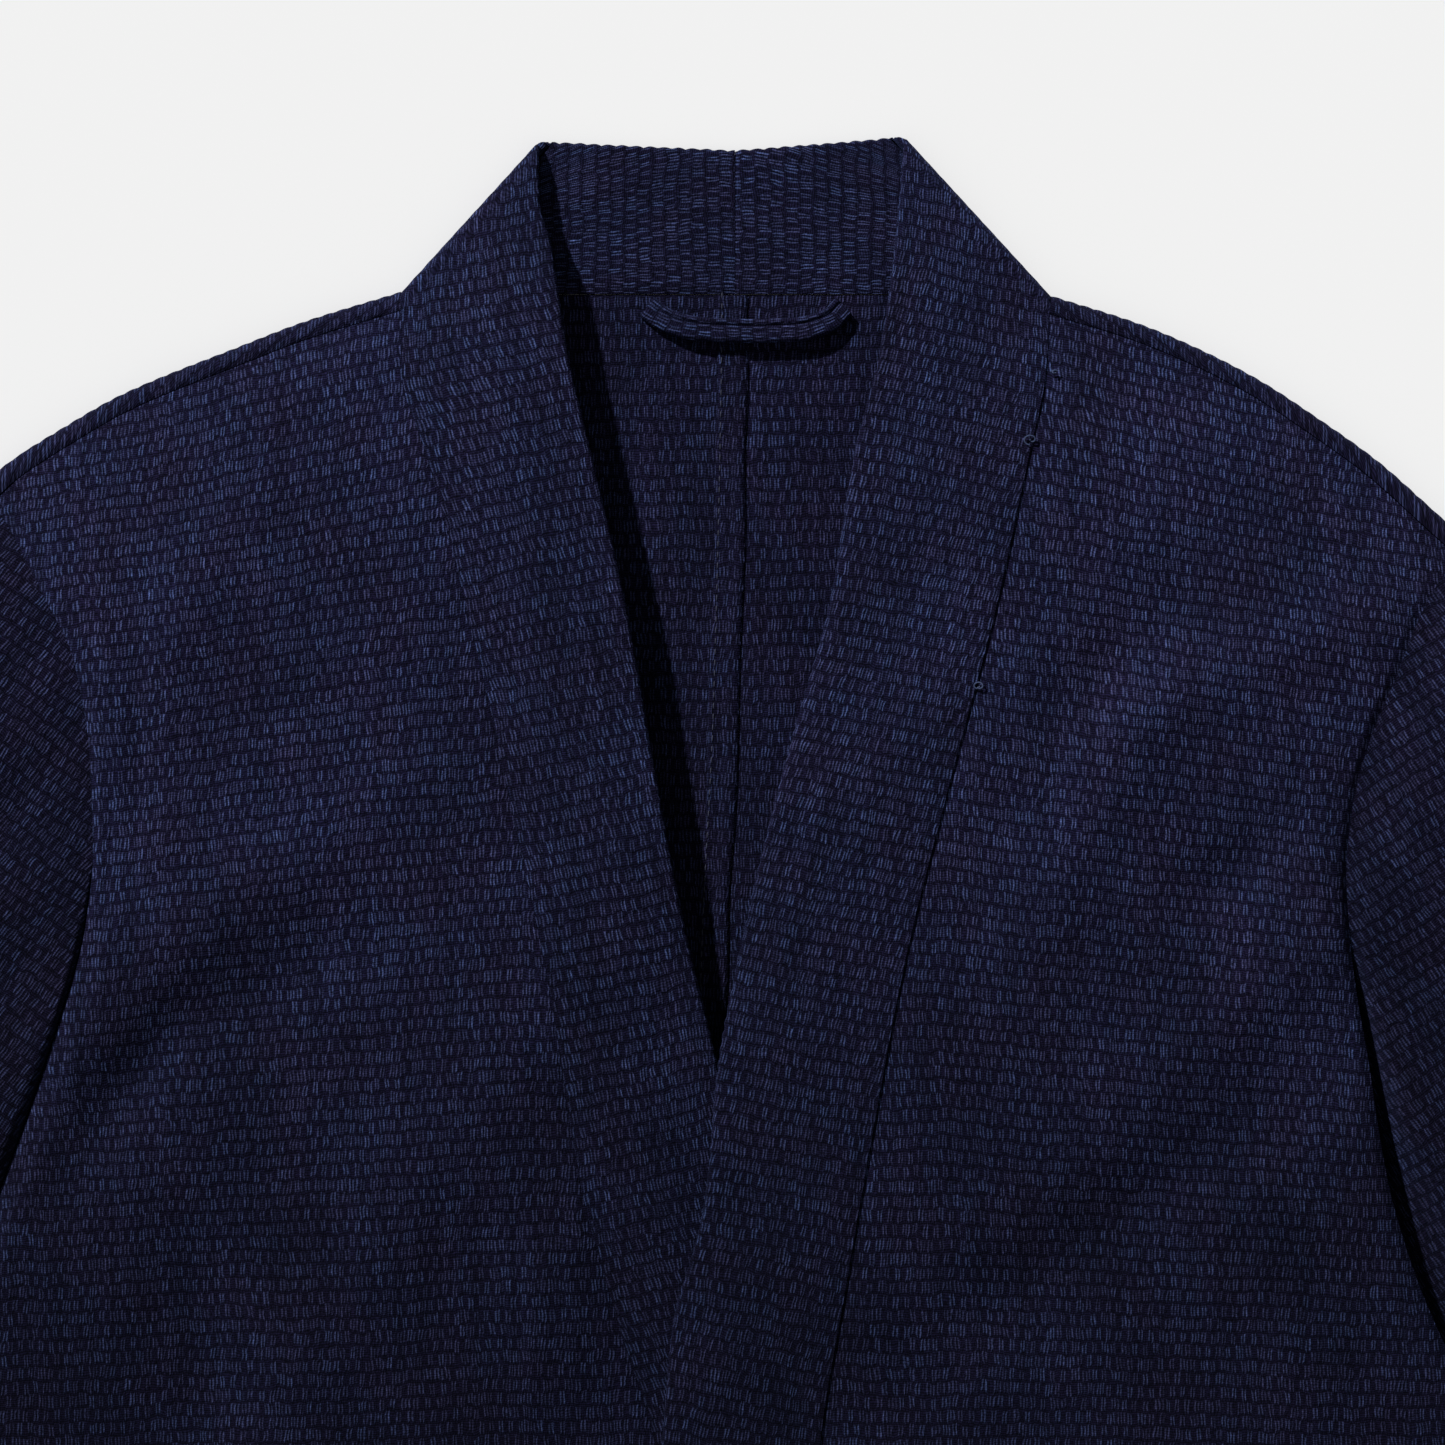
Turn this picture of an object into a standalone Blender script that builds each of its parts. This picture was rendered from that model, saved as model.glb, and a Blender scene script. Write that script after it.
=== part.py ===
"""Noragi jacket laid flat with its front up, made of closed cloth solids.

The back lies on the surface. The fronts lie over it with the loft of soft cloth, the
collar band runs from the centre back over the shoulders and down both front edges, and
the sleeves are flattened tubes beside the body. Left and right are as the viewer sees
the jacket. Sizes are millimetres until the meshes are made. X runs to the viewer's
right, Y towards the collar and Z up, and the draft's zero is the middle of the seam
between the back and the collar.
"""

import math
from collections import namedtuple
from dataclasses import dataclass

import bmesh
import bpy
from mathutils import Vector

MM = 0.001

CLOTH = 2.0
BAND_CLOTH = 3.2
SEAM_GAP = 0.3
HALF_GAP = SEAM_GAP / 2
BODY_LENGTH = 720.0
COLLAR_TOP = 52.3
FOLD_RADIUS = 4.5
SHOULDER_SEAM_INSET = 6.0
FOLD_TOP = 2 * FOLD_RADIUS
FRONT_CLEARANCE = CLOTH + SEAM_GAP
NECK_TURN = 0.75
NECK_SHARE = 0.4
SHOULDER_SLOPE = 70.0
UNDER_LAP_DIP = 4.6
UNDER_LAP_REACH = 50.0
UNDER_LAP_START = -170.0
UNDER_LAP_FADE = 80.0
UNDER_LAP_LEVEL = 5.0
BAND_CROWN = 0.7
BAND_CROWN_START = 0.125
BAND_LEAD_FADE = 110.0
BAND_RAISE_FADE = 30.0
SLEEVE_ROLL = 14.0
TUCK_ROLL = 6.0
SLEEVE_FLAT = 5.0
SLEEVE_WEDGE = 0.25
SLEEVE_BLEND = 32.0
ARMHOLE_FADE = 170.0
FELL_WIDTH = 10.0
FELL_CLOTH = 1.4
SLEEVE_INNER_INSETS = (10.0, 3.0)
SLEEVE_OUTER_STATIONS = 4
LOOP_WIDTH = 8.0
LOOP_CLOTH = 2.2

ROLL_STEPS = 4
FRONT_COLUMNS = 8
SHARP_EDGE = math.radians(50.0)
BAND_COLUMNS = 4
BACK_COLLAR_STEPS = 8
NECK_COLUMNS = 4
BACK_LOWER_ROWS = 4
SIDE_ROWS = 11
LOOP_STEPS = 14
FELL_STEPS = 8

ARMHOLE_SHARES = (0.0, 0.03, 0.08, 0.16, 0.26, 0.37, 0.48, 0.59, 0.7, 0.8, 0.9, 1.0)
TUCK_STATION = 6
TUCK_RINGS = (0.0, 0.05, 0.11, 0.17, 0.23, 0.3)
FREE_RINGS = (0.37, 0.45, 0.54, 0.63, 0.72, 0.81, 0.9, 1.0)

EdgeRow = namedtuple("EdgeRow", "y x")
TopRow = namedtuple("TopRow", "x y")
HeightRow = namedtuple("HeightRow", "y z")
LoopRow = namedtuple("LoopRow", "x y under")
FoldRow = namedtuple("FoldRow", "x y turn length width rise")


def curve(rows):
    """A smooth function through (place, value) rows that never overshoots them."""
    rows = sorted((row[0], row[1]) for row in rows)
    spans = [b[0] - a[0] for a, b in zip(rows, rows[1:])]
    rates = [(b[1] - a[1]) / span for a, b, span in zip(rows, rows[1:], spans)]
    slopes = [rates[0]]
    for before, after in zip(rates, rates[1:]):
        same_way = before * after > 0
        slopes.append(2 * before * after / (before + after) if same_way else 0.0)
    slopes.append(rates[-1])

    def value(place):
        if place <= rows[0][0]:
            return rows[0][1] + slopes[0] * (place - rows[0][0])
        if place >= rows[-1][0]:
            return rows[-1][1] + slopes[-1] * (place - rows[-1][0])
        k = max(i for i, row in enumerate(rows) if row[0] <= place)
        t = (place - rows[k][0]) / spans[k]
        ease = t * t * (3 - 2 * t)
        start = t * (1 - t) ** 2 * slopes[k] * spans[k]
        end = t * t * (t - 1) * slopes[k + 1] * spans[k]
        return rows[k][1] * (1 - ease) + rows[k + 1][1] * ease + start + end

    return value


def mix(a, b, share):
    return a + (b - a) * share


def smooth_step(share):
    share = min(max(share, 0.0), 1.0)
    return share * share * (3 - 2 * share)


def quarter_sine(distance, reach):
    """Rises from 0 at an edge to 1 at the reach, and stays there."""
    return math.sin(math.pi / 2 * min(max(distance / reach, 0.0), 1.0))


@dataclass(frozen=True)
class Half:
    """The plan curves, heights and folds of one half of the jacket."""

    name: str
    way: int
    shoulder_rows: tuple
    armhole_rows: tuple
    side_rows: tuple
    band_seam_rows: tuple
    band_edge_rows: tuple
    band_edge_heights: tuple
    collar_top_rows: tuple
    armhole_heights: tuple
    folds: tuple
    sleeve_folds: tuple
    sleeve_reach: float
    sleeve_lean: float
    cuff: float
    armhole_drop: float
    armhole_roll: float
    tuck_height: float
    band_raise: float


LEFT = Half(
    name="left",
    way=-1,
    shoulder_rows=(
        TopRow(-111.7, 0.3),
        TopRow(-145.0, -10.0),
        TopRow(-165.0, -17.7),
        TopRow(-205.0, -34.0),
        TopRow(-225.0, -45.3),
        TopRow(-245.0, -58.3),
        TopRow(-253.3, -66.0),
    ),
    armhole_rows=(
        EdgeRow(-66.0, -253.3),
        EdgeRow(-74.3, -245.0),
        EdgeRow(-99.3, -231.7),
        EdgeRow(-122.7, -220.5),
        EdgeRow(-156.0, -215.0),
        EdgeRow(-186.0, -214.0),
        EdgeRow(-212.7, -216.7),
        EdgeRow(-242.7, -225.0),
        EdgeRow(-272.7, -235.0),
        EdgeRow(-299.3, -245.0),
        EdgeRow(-346.0, -263.3),
    ),
    side_rows=(
        EdgeRow(-346.0, -263.3),
        EdgeRow(-450.0, -264.5),
        EdgeRow(-600.0, -268.0),
        EdgeRow(-BODY_LENGTH, -272.0),
    ),
    band_seam_rows=(
        EdgeRow(0.3, -111.7),
        EdgeRow(-29.3, -110.7),
        EdgeRow(-52.7, -103.3),
        EdgeRow(-102.7, -90.0),
        EdgeRow(-169.3, -75.0),
        EdgeRow(-232.7, -61.7),
        EdgeRow(-296.0, -51.7),
        EdgeRow(-346.0, -38.3),
        EdgeRow(-384.3, -26.7),
        EdgeRow(-430.0, -20.0),
        EdgeRow(-500.0, -15.0),
        EdgeRow(-BODY_LENGTH, -10.0),
    ),
    band_edge_rows=(
        EdgeRow(50.7, -65.7),
        EdgeRow(30.7, -65.2),
        EdgeRow(17.3, -61.7),
        EdgeRow(-22.7, -55.3),
        EdgeRow(-49.3, -49.0),
        EdgeRow(-102.7, -36.7),
        EdgeRow(-156.0, -27.3),
        EdgeRow(-209.3, -17.3),
        EdgeRow(-257.7, -5.7),
        EdgeRow(-350.0, 15.0),
        EdgeRow(-450.0, 32.0),
        EdgeRow(-500.0, 38.0),
        EdgeRow(-BODY_LENGTH, 46.0),
    ),
    band_edge_heights=(
        HeightRow(50.7, FOLD_TOP),
        HeightRow(30.0, 12.5),
        HeightRow(5.0, 16.5),
        HeightRow(-30.0, 18.0),
        HeightRow(-170.0, 17.6),
        HeightRow(-400.0, 16.0),
        HeightRow(-BODY_LENGTH, 12.2),
    ),
    collar_top_rows=(TopRow(0.0, 48.0), TopRow(-45.0, 50.0), TopRow(-61.2, 50.8)),
    armhole_heights=(
        HeightRow(-70.5, FOLD_TOP),
        HeightRow(-85.0, 12.0),
        HeightRow(-110.0, 14.0),
        HeightRow(-160.0, 14.6),
        HeightRow(-240.0, 14.0),
        HeightRow(-300.0, 11.0),
        HeightRow(-330.0, 7.8),
        HeightRow(-346.0, 5.8),
        HeightRow(-380.0, 3.8),
        HeightRow(-BODY_LENGTH, 3.6),
    ),
    folds=(
        FoldRow(-200.0, -150.0, 88.0, 60.0, 9.0, -1.6),
        FoldRow(-188.0, -118.0, 70.0, 45.0, 14.0, 1.4),
        FoldRow(-150.0, -228.0, 35.0, 50.0, 16.0, -1.8),
        FoldRow(-165.0, -205.0, 38.0, 55.0, 15.0, 1.5),
        FoldRow(-200.0, -262.0, 55.0, 40.0, 10.0, -2.0),
        FoldRow(-120.0, -330.0, 62.0, 90.0, 22.0, 1.5),
        FoldRow(-190.0, -420.0, 80.0, 120.0, 20.0, -1.6),
        FoldRow(-110.0, -540.0, 84.0, 130.0, 24.0, 1.6),
        FoldRow(-205.0, -600.0, 94.0, 90.0, 16.0, 1.3),
    ),
    sleeve_folds=(
        FoldRow(-262.0, -190.0, 40.0, 55.0, 12.0, -2.4),
        FoldRow(-285.0, -255.0, 30.0, 60.0, 13.0, -2.6),
        FoldRow(-300.0, -330.0, 20.0, 50.0, 14.0, 1.8),
        FoldRow(-390.0, -370.0, 50.0, 90.0, 18.0, -1.8),
        FoldRow(-460.0, -480.0, 55.0, 80.0, 18.0, 1.6),
    ),
    sleeve_reach=550.0,
    sleeve_lean=37.0,
    cuff=124.0,
    armhole_drop=0.72,
    armhole_roll=18.0,
    tuck_height=9.5,
    band_raise=0.0,
)

RIGHT = Half(
    name="right",
    way=1,
    shoulder_rows=(
        TopRow(105.7, -1.0),
        TopRow(135.0, -10.3),
        TopRow(155.0, -18.7),
        TopRow(175.0, -29.0),
        TopRow(195.0, -42.0),
        TopRow(215.0, -56.3),
        TopRow(235.0, -74.0),
        TopRow(246.7, -84.3),
    ),
    armhole_rows=(
        EdgeRow(-84.3, 246.7),
        EdgeRow(-91.0, 239.0),
        EdgeRow(-106.0, 229.5),
        EdgeRow(-129.3, 220.0),
        EdgeRow(-149.3, 211.7),
        EdgeRow(-172.7, 205.7),
        EdgeRow(-196.0, 203.7),
        EdgeRow(-222.7, 205.7),
        EdgeRow(-256.0, 211.0),
        EdgeRow(-296.0, 217.5),
        EdgeRow(-322.7, 225.0),
        EdgeRow(-351.0, 236.7),
        EdgeRow(-375.0, 250.0),
    ),
    side_rows=(
        EdgeRow(-375.0, 250.0),
        EdgeRow(-480.0, 255.5),
        EdgeRow(-600.0, 262.0),
        EdgeRow(-BODY_LENGTH, 267.0),
    ),
    band_seam_rows=(
        EdgeRow(-1.0, 105.7),
        EdgeRow(-29.3, 103.3),
        EdgeRow(-52.7, 98.3),
        EdgeRow(-106.0, 86.7),
        EdgeRow(-162.7, 71.7),
        EdgeRow(-222.7, 56.7),
        EdgeRow(-279.3, 46.0),
        EdgeRow(-332.7, 36.7),
        EdgeRow(-384.3, 28.3),
        EdgeRow(-500.0, 20.0),
        EdgeRow(-BODY_LENGTH, 17.0),
    ),
    band_edge_rows=(
        EdgeRow(COLLAR_TOP, 56.7),
        EdgeRow(10.7, 52.7),
        EdgeRow(-19.3, 48.3),
        EdgeRow(-52.7, 40.0),
        EdgeRow(-102.7, 31.7),
        EdgeRow(-142.7, 20.7),
        EdgeRow(-182.7, 10.0),
        EdgeRow(-222.7, 1.0),
        EdgeRow(-257.7, -5.7),
        EdgeRow(-302.7, -10.0),
        EdgeRow(-346.0, -21.0),
        EdgeRow(-384.0, -24.5),
        EdgeRow(-500.0, -36.0),
        EdgeRow(-BODY_LENGTH, -40.0),
    ),
    band_edge_heights=(
        HeightRow(COLLAR_TOP, FOLD_TOP),
        HeightRow(30.0, 12.5),
        HeightRow(5.0, 16.5),
        HeightRow(-30.0, 18.0),
        HeightRow(-200.0, 18.0),
        HeightRow(-400.0, 17.4),
        HeightRow(-BODY_LENGTH, 13.4),
    ),
    collar_top_rows=(TopRow(0.0, 48.0), TopRow(35.0, 50.7), TopRow(52.2, 52.2)),
    armhole_heights=(
        HeightRow(-88.8, FOLD_TOP),
        HeightRow(-105.0, 12.0),
        HeightRow(-130.0, 13.0),
        HeightRow(-160.0, 11.5),
        HeightRow(-190.0, 9.0),
        HeightRow(-240.0, 8.0),
        HeightRow(-320.0, 7.6),
        HeightRow(-350.0, 6.8),
        HeightRow(-375.0, 5.8),
        HeightRow(-400.0, 4.0),
        HeightRow(-BODY_LENGTH, 3.6),
    ),
    folds=(
        FoldRow(128.0, -122.0, 50.0, 40.0, 13.0, -1.8),
        FoldRow(180.0, -122.0, 24.0, 60.0, 13.0, 1.6),
        FoldRow(122.0, -170.0, 66.0, 50.0, 14.0, 1.6),
        FoldRow(172.0, -189.0, 40.0, 30.0, 12.0, -1.8),
        FoldRow(178.0, -230.0, 40.0, 40.0, 13.0, 1.4),
        FoldRow(128.0, -308.0, 36.0, 85.0, 16.0, -2.2),
        FoldRow(150.0, -420.0, 62.0, 100.0, 20.0, 1.6),
        FoldRow(205.0, -500.0, 84.0, 110.0, 16.0, -1.6),
        FoldRow(100.0, -590.0, 82.0, 110.0, 22.0, 1.5),
    ),
    sleeve_folds=(
        FoldRow(236.0, -200.0, 118.0, 45.0, 11.0, 1.6),
        FoldRow(262.0, -262.0, 128.0, 60.0, 13.0, -2.4),
        FoldRow(282.0, -340.0, 135.0, 55.0, 14.0, 1.8),
        FoldRow(365.0, -380.0, 126.0, 90.0, 18.0, -1.8),
        FoldRow(430.0, -500.0, 122.0, 80.0, 18.0, 1.6),
    ),
    sleeve_reach=545.0,
    sleeve_lean=34.0,
    cuff=124.0,
    armhole_drop=0.66,
    armhole_roll=10.0,
    tuck_height=4.5,
    band_raise=1.2,
)

LOFT_ROWS = (
    HeightRow(0.0, 17.0),
    HeightRow(-120.0, 18.0),
    HeightRow(-300.0, 17.0),
    HeightRow(-450.0, 15.0),
    HeightRow(-BODY_LENGTH, 12.2),
)
SLEEVE_LOFT_ROWS = (HeightRow(0.0, 16.5), HeightRow(0.5, 16.0), HeightRow(1.0, 12.5))
CENTRE_SEAM_ROWS = (
    EdgeRow(0.0, 4.5),
    EdgeRow(-22.7, 4.3),
    EdgeRow(-136.0, 1.7),
    EdgeRow(-239.3, -2.7),
    EdgeRow(-BODY_LENGTH, -4.0),
)
LOOP_ROWS = (
    LoopRow(-29.5, -4.4, 2.4),
    LoopRow(-24.0, -8.4, 3.2),
    LoopRow(-13.0, -11.7, 4.6),
    LoopRow(5.0, -12.6, 5.2),
    LoopRow(21.0, -12.0, 5.2),
    LoopRow(31.5, -8.8, 4.0),
    LoopRow(36.6, -4.2, 2.6),
)


def fold_relief(folds, x, y):
    """The height that the soft ridges and troughs of the table add at a place."""
    total = 0.0
    for fold in folds:
        turn = math.radians(fold.turn)
        along = (x - fold.x) * math.cos(turn) + (y - fold.y) * math.sin(turn)
        across = (y - fold.y) * math.cos(turn) - (x - fold.x) * math.sin(turn)
        total += fold.rise * math.exp(-((along / fold.length) ** 2) - (across / fold.width) ** 2)
    return total


class Plan:
    """Places on one half of the jacket, worked out from its tables."""

    def __init__(self, half):
        self.half = half
        self.way = half.way
        self.shoulder_y = curve(half.shoulder_rows)
        self.armhole_x = curve(half.armhole_rows)
        self.side_x = curve(half.side_rows)
        self.band_seam_x = curve(half.band_seam_rows)
        self.band_edge_x = curve(half.band_edge_rows)
        self.band_edge_z = curve(half.band_edge_heights)
        self.collar_top_y = curve(half.collar_top_rows)
        self.outer_z = curve(half.armhole_heights)
        self.neck = Vector(half.shoulder_rows[0])
        self.tip = Vector(half.shoulder_rows[-1])
        self.underarm = Vector((half.side_rows[0].x, half.side_rows[0].y))
        self.corner_y = half.band_edge_rows[0].y
        self.front_start = self.seam_point(SHOULDER_SEAM_INSET + SEAM_GAP).y
        self.outer_start = self.armhole_point(SHOULDER_SEAM_INSET + SEAM_GAP).y

    def outer_x(self, y):
        return self.armhole_x(y) if y > self.underarm.y else self.side_x(y)

    def seam_point(self, inset):
        """A point on the band's seam, an inset below the neck point."""
        y = self.neck.y - inset
        return Vector((self.band_seam_x(y), y))

    def armhole_point(self, inset):
        """A point on the armhole seam, an inset along it from the shoulder's tip."""
        y = self.tip.y - inset * self.half.armhole_drop
        return Vector((self.armhole_x(y), y))

    def shoulder_point(self, share, inset):
        """A point an inset inside the shoulder's outline, from neck to tip."""
        x = mix(self.neck.x, self.tip.x, share)
        outline = Vector((x, self.shoulder_y(x)))
        at_neck = self.seam_point(inset) - self.neck
        at_tip = self.armhole_point(inset) - self.tip
        return outline + at_neck.lerp(at_tip, share)

    def stations(self):
        """The rows' shares of the way down: the armhole's, then the side seam's."""
        under = (self.outer_start - self.underarm.y) / (self.outer_start + BODY_LENGTH)
        upper = [share * under for share in ARMHOLE_SHARES]
        return upper + [mix(under, 1.0, (k + 1) / SIDE_ROWS) for k in range(SIDE_ROWS)]

    def seam_at(self, station):
        y = mix(self.front_start, -BODY_LENGTH, station)
        return Vector((self.band_seam_x(y), y))

    def outer_at(self, station):
        y = mix(self.outer_start, -BODY_LENGTH, station)
        return Vector((self.outer_x(y), y))

    def under_lap(self, x, y):
        """How far the left front dips to pass under the right one."""
        if self.way > 0:
            return 0.0
        start = UPPER_BAND_EDGE(y) - UNDER_LAP_REACH
        across = smooth_step((x - start) / (UNDER_LAP_REACH - UNDER_LAP_LEVEL))
        down = smooth_step((UNDER_LAP_START - y) / UNDER_LAP_FADE)
        return UNDER_LAP_DIP * across * down

    def front_height(self, point, below_shoulder, from_outer):
        """The top of the front's cloth at a plan point."""
        rise = 1 - (1 - min(below_shoulder / SHOULDER_SLOPE, 1.0)) ** 2
        relief = fold_relief(self.half.folds, point.x, point.y) * rise
        inner = mix(FOLD_TOP, LOFT(point.y), rise) + relief - self.under_lap(point.x, point.y)
        edge = self.outer_z(point.y)
        reach = self.half.armhole_roll if point.y > self.underarm.y else LEFT.armhole_roll
        return mix(edge, inner, quarter_sine(from_outer, reach))


LOFT = curve(LOFT_ROWS)
SLEEVE_LOFT = curve(SLEEVE_LOFT_ROWS)
CENTRE_SEAM = curve(CENTRE_SEAM_ROWS)
UPPER_BAND_EDGE = curve(RIGHT.band_edge_rows)


def coons(top, bottom, inner, outer, across, down):
    """A point inside four boundary curves that meet at their corners."""
    corner = top(0.0).lerp(top(1.0), across).lerp(bottom(0.0).lerp(bottom(1.0), across), down)
    return top(across).lerp(bottom(across), down) + inner(down).lerp(outer(down), across) - corner


def with_height(point, z):
    return Vector((point.x, point.y, z))


def grid_quads(rows, columns, closed=False, start=0):
    """Quads of a grid of points that are listed row by row."""
    wrap = columns if closed else columns - 1
    quads = []
    for i in range(rows - 1):
        for j in range(wrap):
            k = (j + 1) % columns
            a, b = start + i * columns, start + (i + 1) * columns
            quads.append((a + j, a + k, b + k, b + j))
    return quads


def inner_points(grid, thickness, towards):
    """The other face of a cloth wall, a thickness along the grid's own normals."""
    rows, columns = len(grid), len(grid[0])
    inner = []
    for i in range(rows):
        line = []
        for j in range(columns):
            across = grid[i][min(j + 1, columns - 1)] - grid[i][max(j - 1, 0)]
            down = grid[min(i + 1, rows - 1)][j] - grid[max(i - 1, 0)][j]
            line.append(grid[i][j] + across.cross(down).normalized() * thickness * towards)
        inner.append(line)
    return inner


def cloth_solid(name, outer, inner, quads, finish):
    """One closed wall between two lists of points, with a rim along its open edges."""
    shape = bmesh.new()
    count = len(outer)
    verts = [shape.verts.new(point * MM) for point in outer + inner]
    ways = {(quad[k], quad[(k + 1) % 4]) for quad in quads for k in range(4)}
    for quad in quads:
        shape.faces.new([verts[k] for k in quad])
        shape.faces.new([verts[k + count] for k in reversed(quad)])
    for a, b in sorted(ways):
        if (b, a) not in ways:
            shape.faces.new((verts[b], verts[a], verts[a + count], verts[b + count]))
    bmesh.ops.triangulate(shape, faces=shape.faces[:])
    bmesh.ops.recalc_face_normals(shape, faces=shape.faces[:])
    mesh = bpy.data.meshes.new(name)
    shape.to_mesh(mesh)
    shape.free()
    mesh.shade_smooth()
    mesh.set_sharp_from_angle(angle=SHARP_EDGE)
    mesh.materials.append(finish)
    piece = bpy.data.objects.new(name, mesh)
    bpy.context.scene.collection.objects.link(piece)
    return piece


def flat_list(grid):
    return [point for line in grid for point in line]


def cloth_finish(name, colour, roughness):
    finish = bpy.data.materials.new(name)
    finish.use_nodes = True
    shader = finish.node_tree.nodes["Principled BSDF"]
    shader.inputs["Base Color"].default_value = (*colour, 1.0)
    shader.inputs["Roughness"].default_value = roughness
    shader.inputs["Metallic"].default_value = 0.0
    return finish


def roll_points(thickness):
    """The (inset, outer height, inner inset, inner height) of a fold's steps."""
    rows = []
    for k in range(ROLL_STEPS + 1):
        angle = math.radians(mix(-90.0, 90.0, k / ROLL_STEPS))
        inside = FOLD_RADIUS - thickness
        rows.append(
            (
                FOLD_RADIUS - FOLD_RADIUS * math.cos(angle),
                FOLD_RADIUS + FOLD_RADIUS * math.sin(angle),
                FOLD_RADIUS - inside * math.cos(angle),
                FOLD_RADIUS + inside * math.sin(angle),
            )
        )
    return rows


def neck_line(plan, share):
    """The neck seam on the flat back, from the centre to the start of the fold."""
    end = plan.seam_point(FOLD_RADIUS)
    turn = max(0.0, (share - NECK_TURN) / (1 - NECK_TURN))
    return Vector((mix(0.0, end.x, share), end.y * turn))


def across_shares(width):
    """Where a front's columns lie, from the band's seam to the rolled outer edge."""
    reach = LEFT.armhole_roll
    turn = [reach * (1 - math.cos(math.pi / 2 * k / ROLL_STEPS)) for k in range(ROLL_STEPS)]
    shares = [(1 - reach / width) * k / FRONT_COLUMNS for k in range(FRONT_COLUMNS + 1)]
    return shares + [1 - inset / width for inset in reversed(turn)]


def back_panel(plan, finish):
    """Half of the back: flat on the surface, rolling over the shoulder to its seam."""
    shares = across_shares((plan.outer_at(0.0) - plan.seam_at(0.0)).length)
    acrosses = [NECK_SHARE * k / NECK_COLUMNS for k in range(NECK_COLUMNS)]
    acrosses += [mix(NECK_SHARE, 1.0, share) for share in shares]
    columns = len(acrosses) - 1
    outer_top = plan.armhole_point(FOLD_RADIUS).y
    centre_shift = plan.way * HALF_GAP
    neck_shift = Vector((centre_shift, -SEAM_GAP))

    def top(across):
        if across >= NECK_SHARE:
            share = (across - NECK_SHARE) / (1 - NECK_SHARE)
            return plan.shoulder_point(share, FOLD_RADIUS) + neck_shift * (1 - share)
        share = across / NECK_SHARE
        line = neck_line(plan, share)
        shift = mix(CENTRE_SEAM(0.0) + centre_shift, 0.0, min(share / NECK_TURN, 1.0))
        return Vector((line.x + shift, line.y - SEAM_GAP))

    def bottom(across):
        start = CENTRE_SEAM(-BODY_LENGTH) + centre_shift
        return Vector((mix(start, plan.side_x(-BODY_LENGTH), across), -BODY_LENGTH))

    def inner(down):
        y = mix(-SEAM_GAP, -BODY_LENGTH, down)
        return Vector((CENTRE_SEAM(y) + centre_shift, y))

    def outer(down):
        y = mix(outer_top, -BODY_LENGTH, down)
        return Vector((plan.outer_x(y), y))

    length = outer_top + BODY_LENGTH
    upper = [(outer_top - plan.outer_at(s).y) / length for s in plan.stations()[: len(ARMHOLE_SHARES)]]
    lower = [mix(upper[-1], 1.0, (k + 1) / BACK_LOWER_ROWS) for k in range(BACK_LOWER_ROWS)]
    rows = [0.0] + upper + lower
    flat = [[coons(top, bottom, inner, outer, across, down) for across in acrosses] for down in rows]
    lower_face = [with_height(p, 0.0) for p in flat_list(flat)]
    upper_face = [with_height(p, CLOTH) for p in flat_list(flat)]
    quads = grid_quads(len(rows), columns + 1)

    shift = Vector((plan.way * HALF_GAP, 0.0))
    last = list(range(NECK_COLUMNS, columns + 1))
    steps = roll_points(CLOTH)[1:]
    steps.append((SHOULDER_SEAM_INSET, FOLD_TOP, SHOULDER_SEAM_INSET, FOLD_TOP - CLOTH))
    for inset, height, inner_inset, inner_height in steps:
        now = []
        for k, share in enumerate(shares):
            aside = shift * (1 - share)
            now.append(len(lower_face))
            lower_face.append(with_height(plan.shoulder_point(share, inset) + aside, height))
            upper_face.append(with_height(plan.shoulder_point(share, inner_inset) + aside, inner_height))
            if k:
                quads.append((last[k], last[k - 1], now[k - 1], now[k]))
        last = now
    return cloth_solid(f"back_{plan.half.name}", lower_face, upper_face, quads, finish)


def front_grid(plan):
    """The top of a front, row by row from the band's seam to the outer edge."""
    start = Vector((plan.way * HALF_GAP, 0.0))

    def top(across):
        return plan.shoulder_point(across, SHOULDER_SEAM_INSET + SEAM_GAP) + start * (1 - across)

    def bottom(across):
        seam = plan.seam_at(1.0) + start
        return seam.lerp(plan.outer_at(1.0), across)

    grid = []
    for station in plan.stations():
        inner = plan.seam_at(station) + start
        width = (plan.outer_at(station) - inner).length
        line = []
        for share in across_shares(width):
            point = coons(
                top, bottom, lambda d: plan.seam_at(d) + start, plan.outer_at, share, station
            )
            below = (top(share) - point).length
            line.append(with_height(point, plan.front_height(point, below, (1 - share) * width)))
        grid.append(line)
    return grid


def front_panel(plan, finish):
    """A front: lofted over the back, rolled down to the side seam and the armhole."""
    grid = front_grid(plan)
    under = inner_points(grid, CLOTH, plan.way)
    for line in under:
        for point in line:
            point.z = max(point.z, FRONT_CLEARANCE)
    for line in grid:
        line[-1].z = max(line[-1].z, FRONT_CLEARANCE + CLOTH / 2)
    quads = grid_quads(len(grid), len(grid[0]))
    return cloth_solid(f"front_{plan.half.name}", flat_list(grid), flat_list(under), quads, finish)


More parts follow.
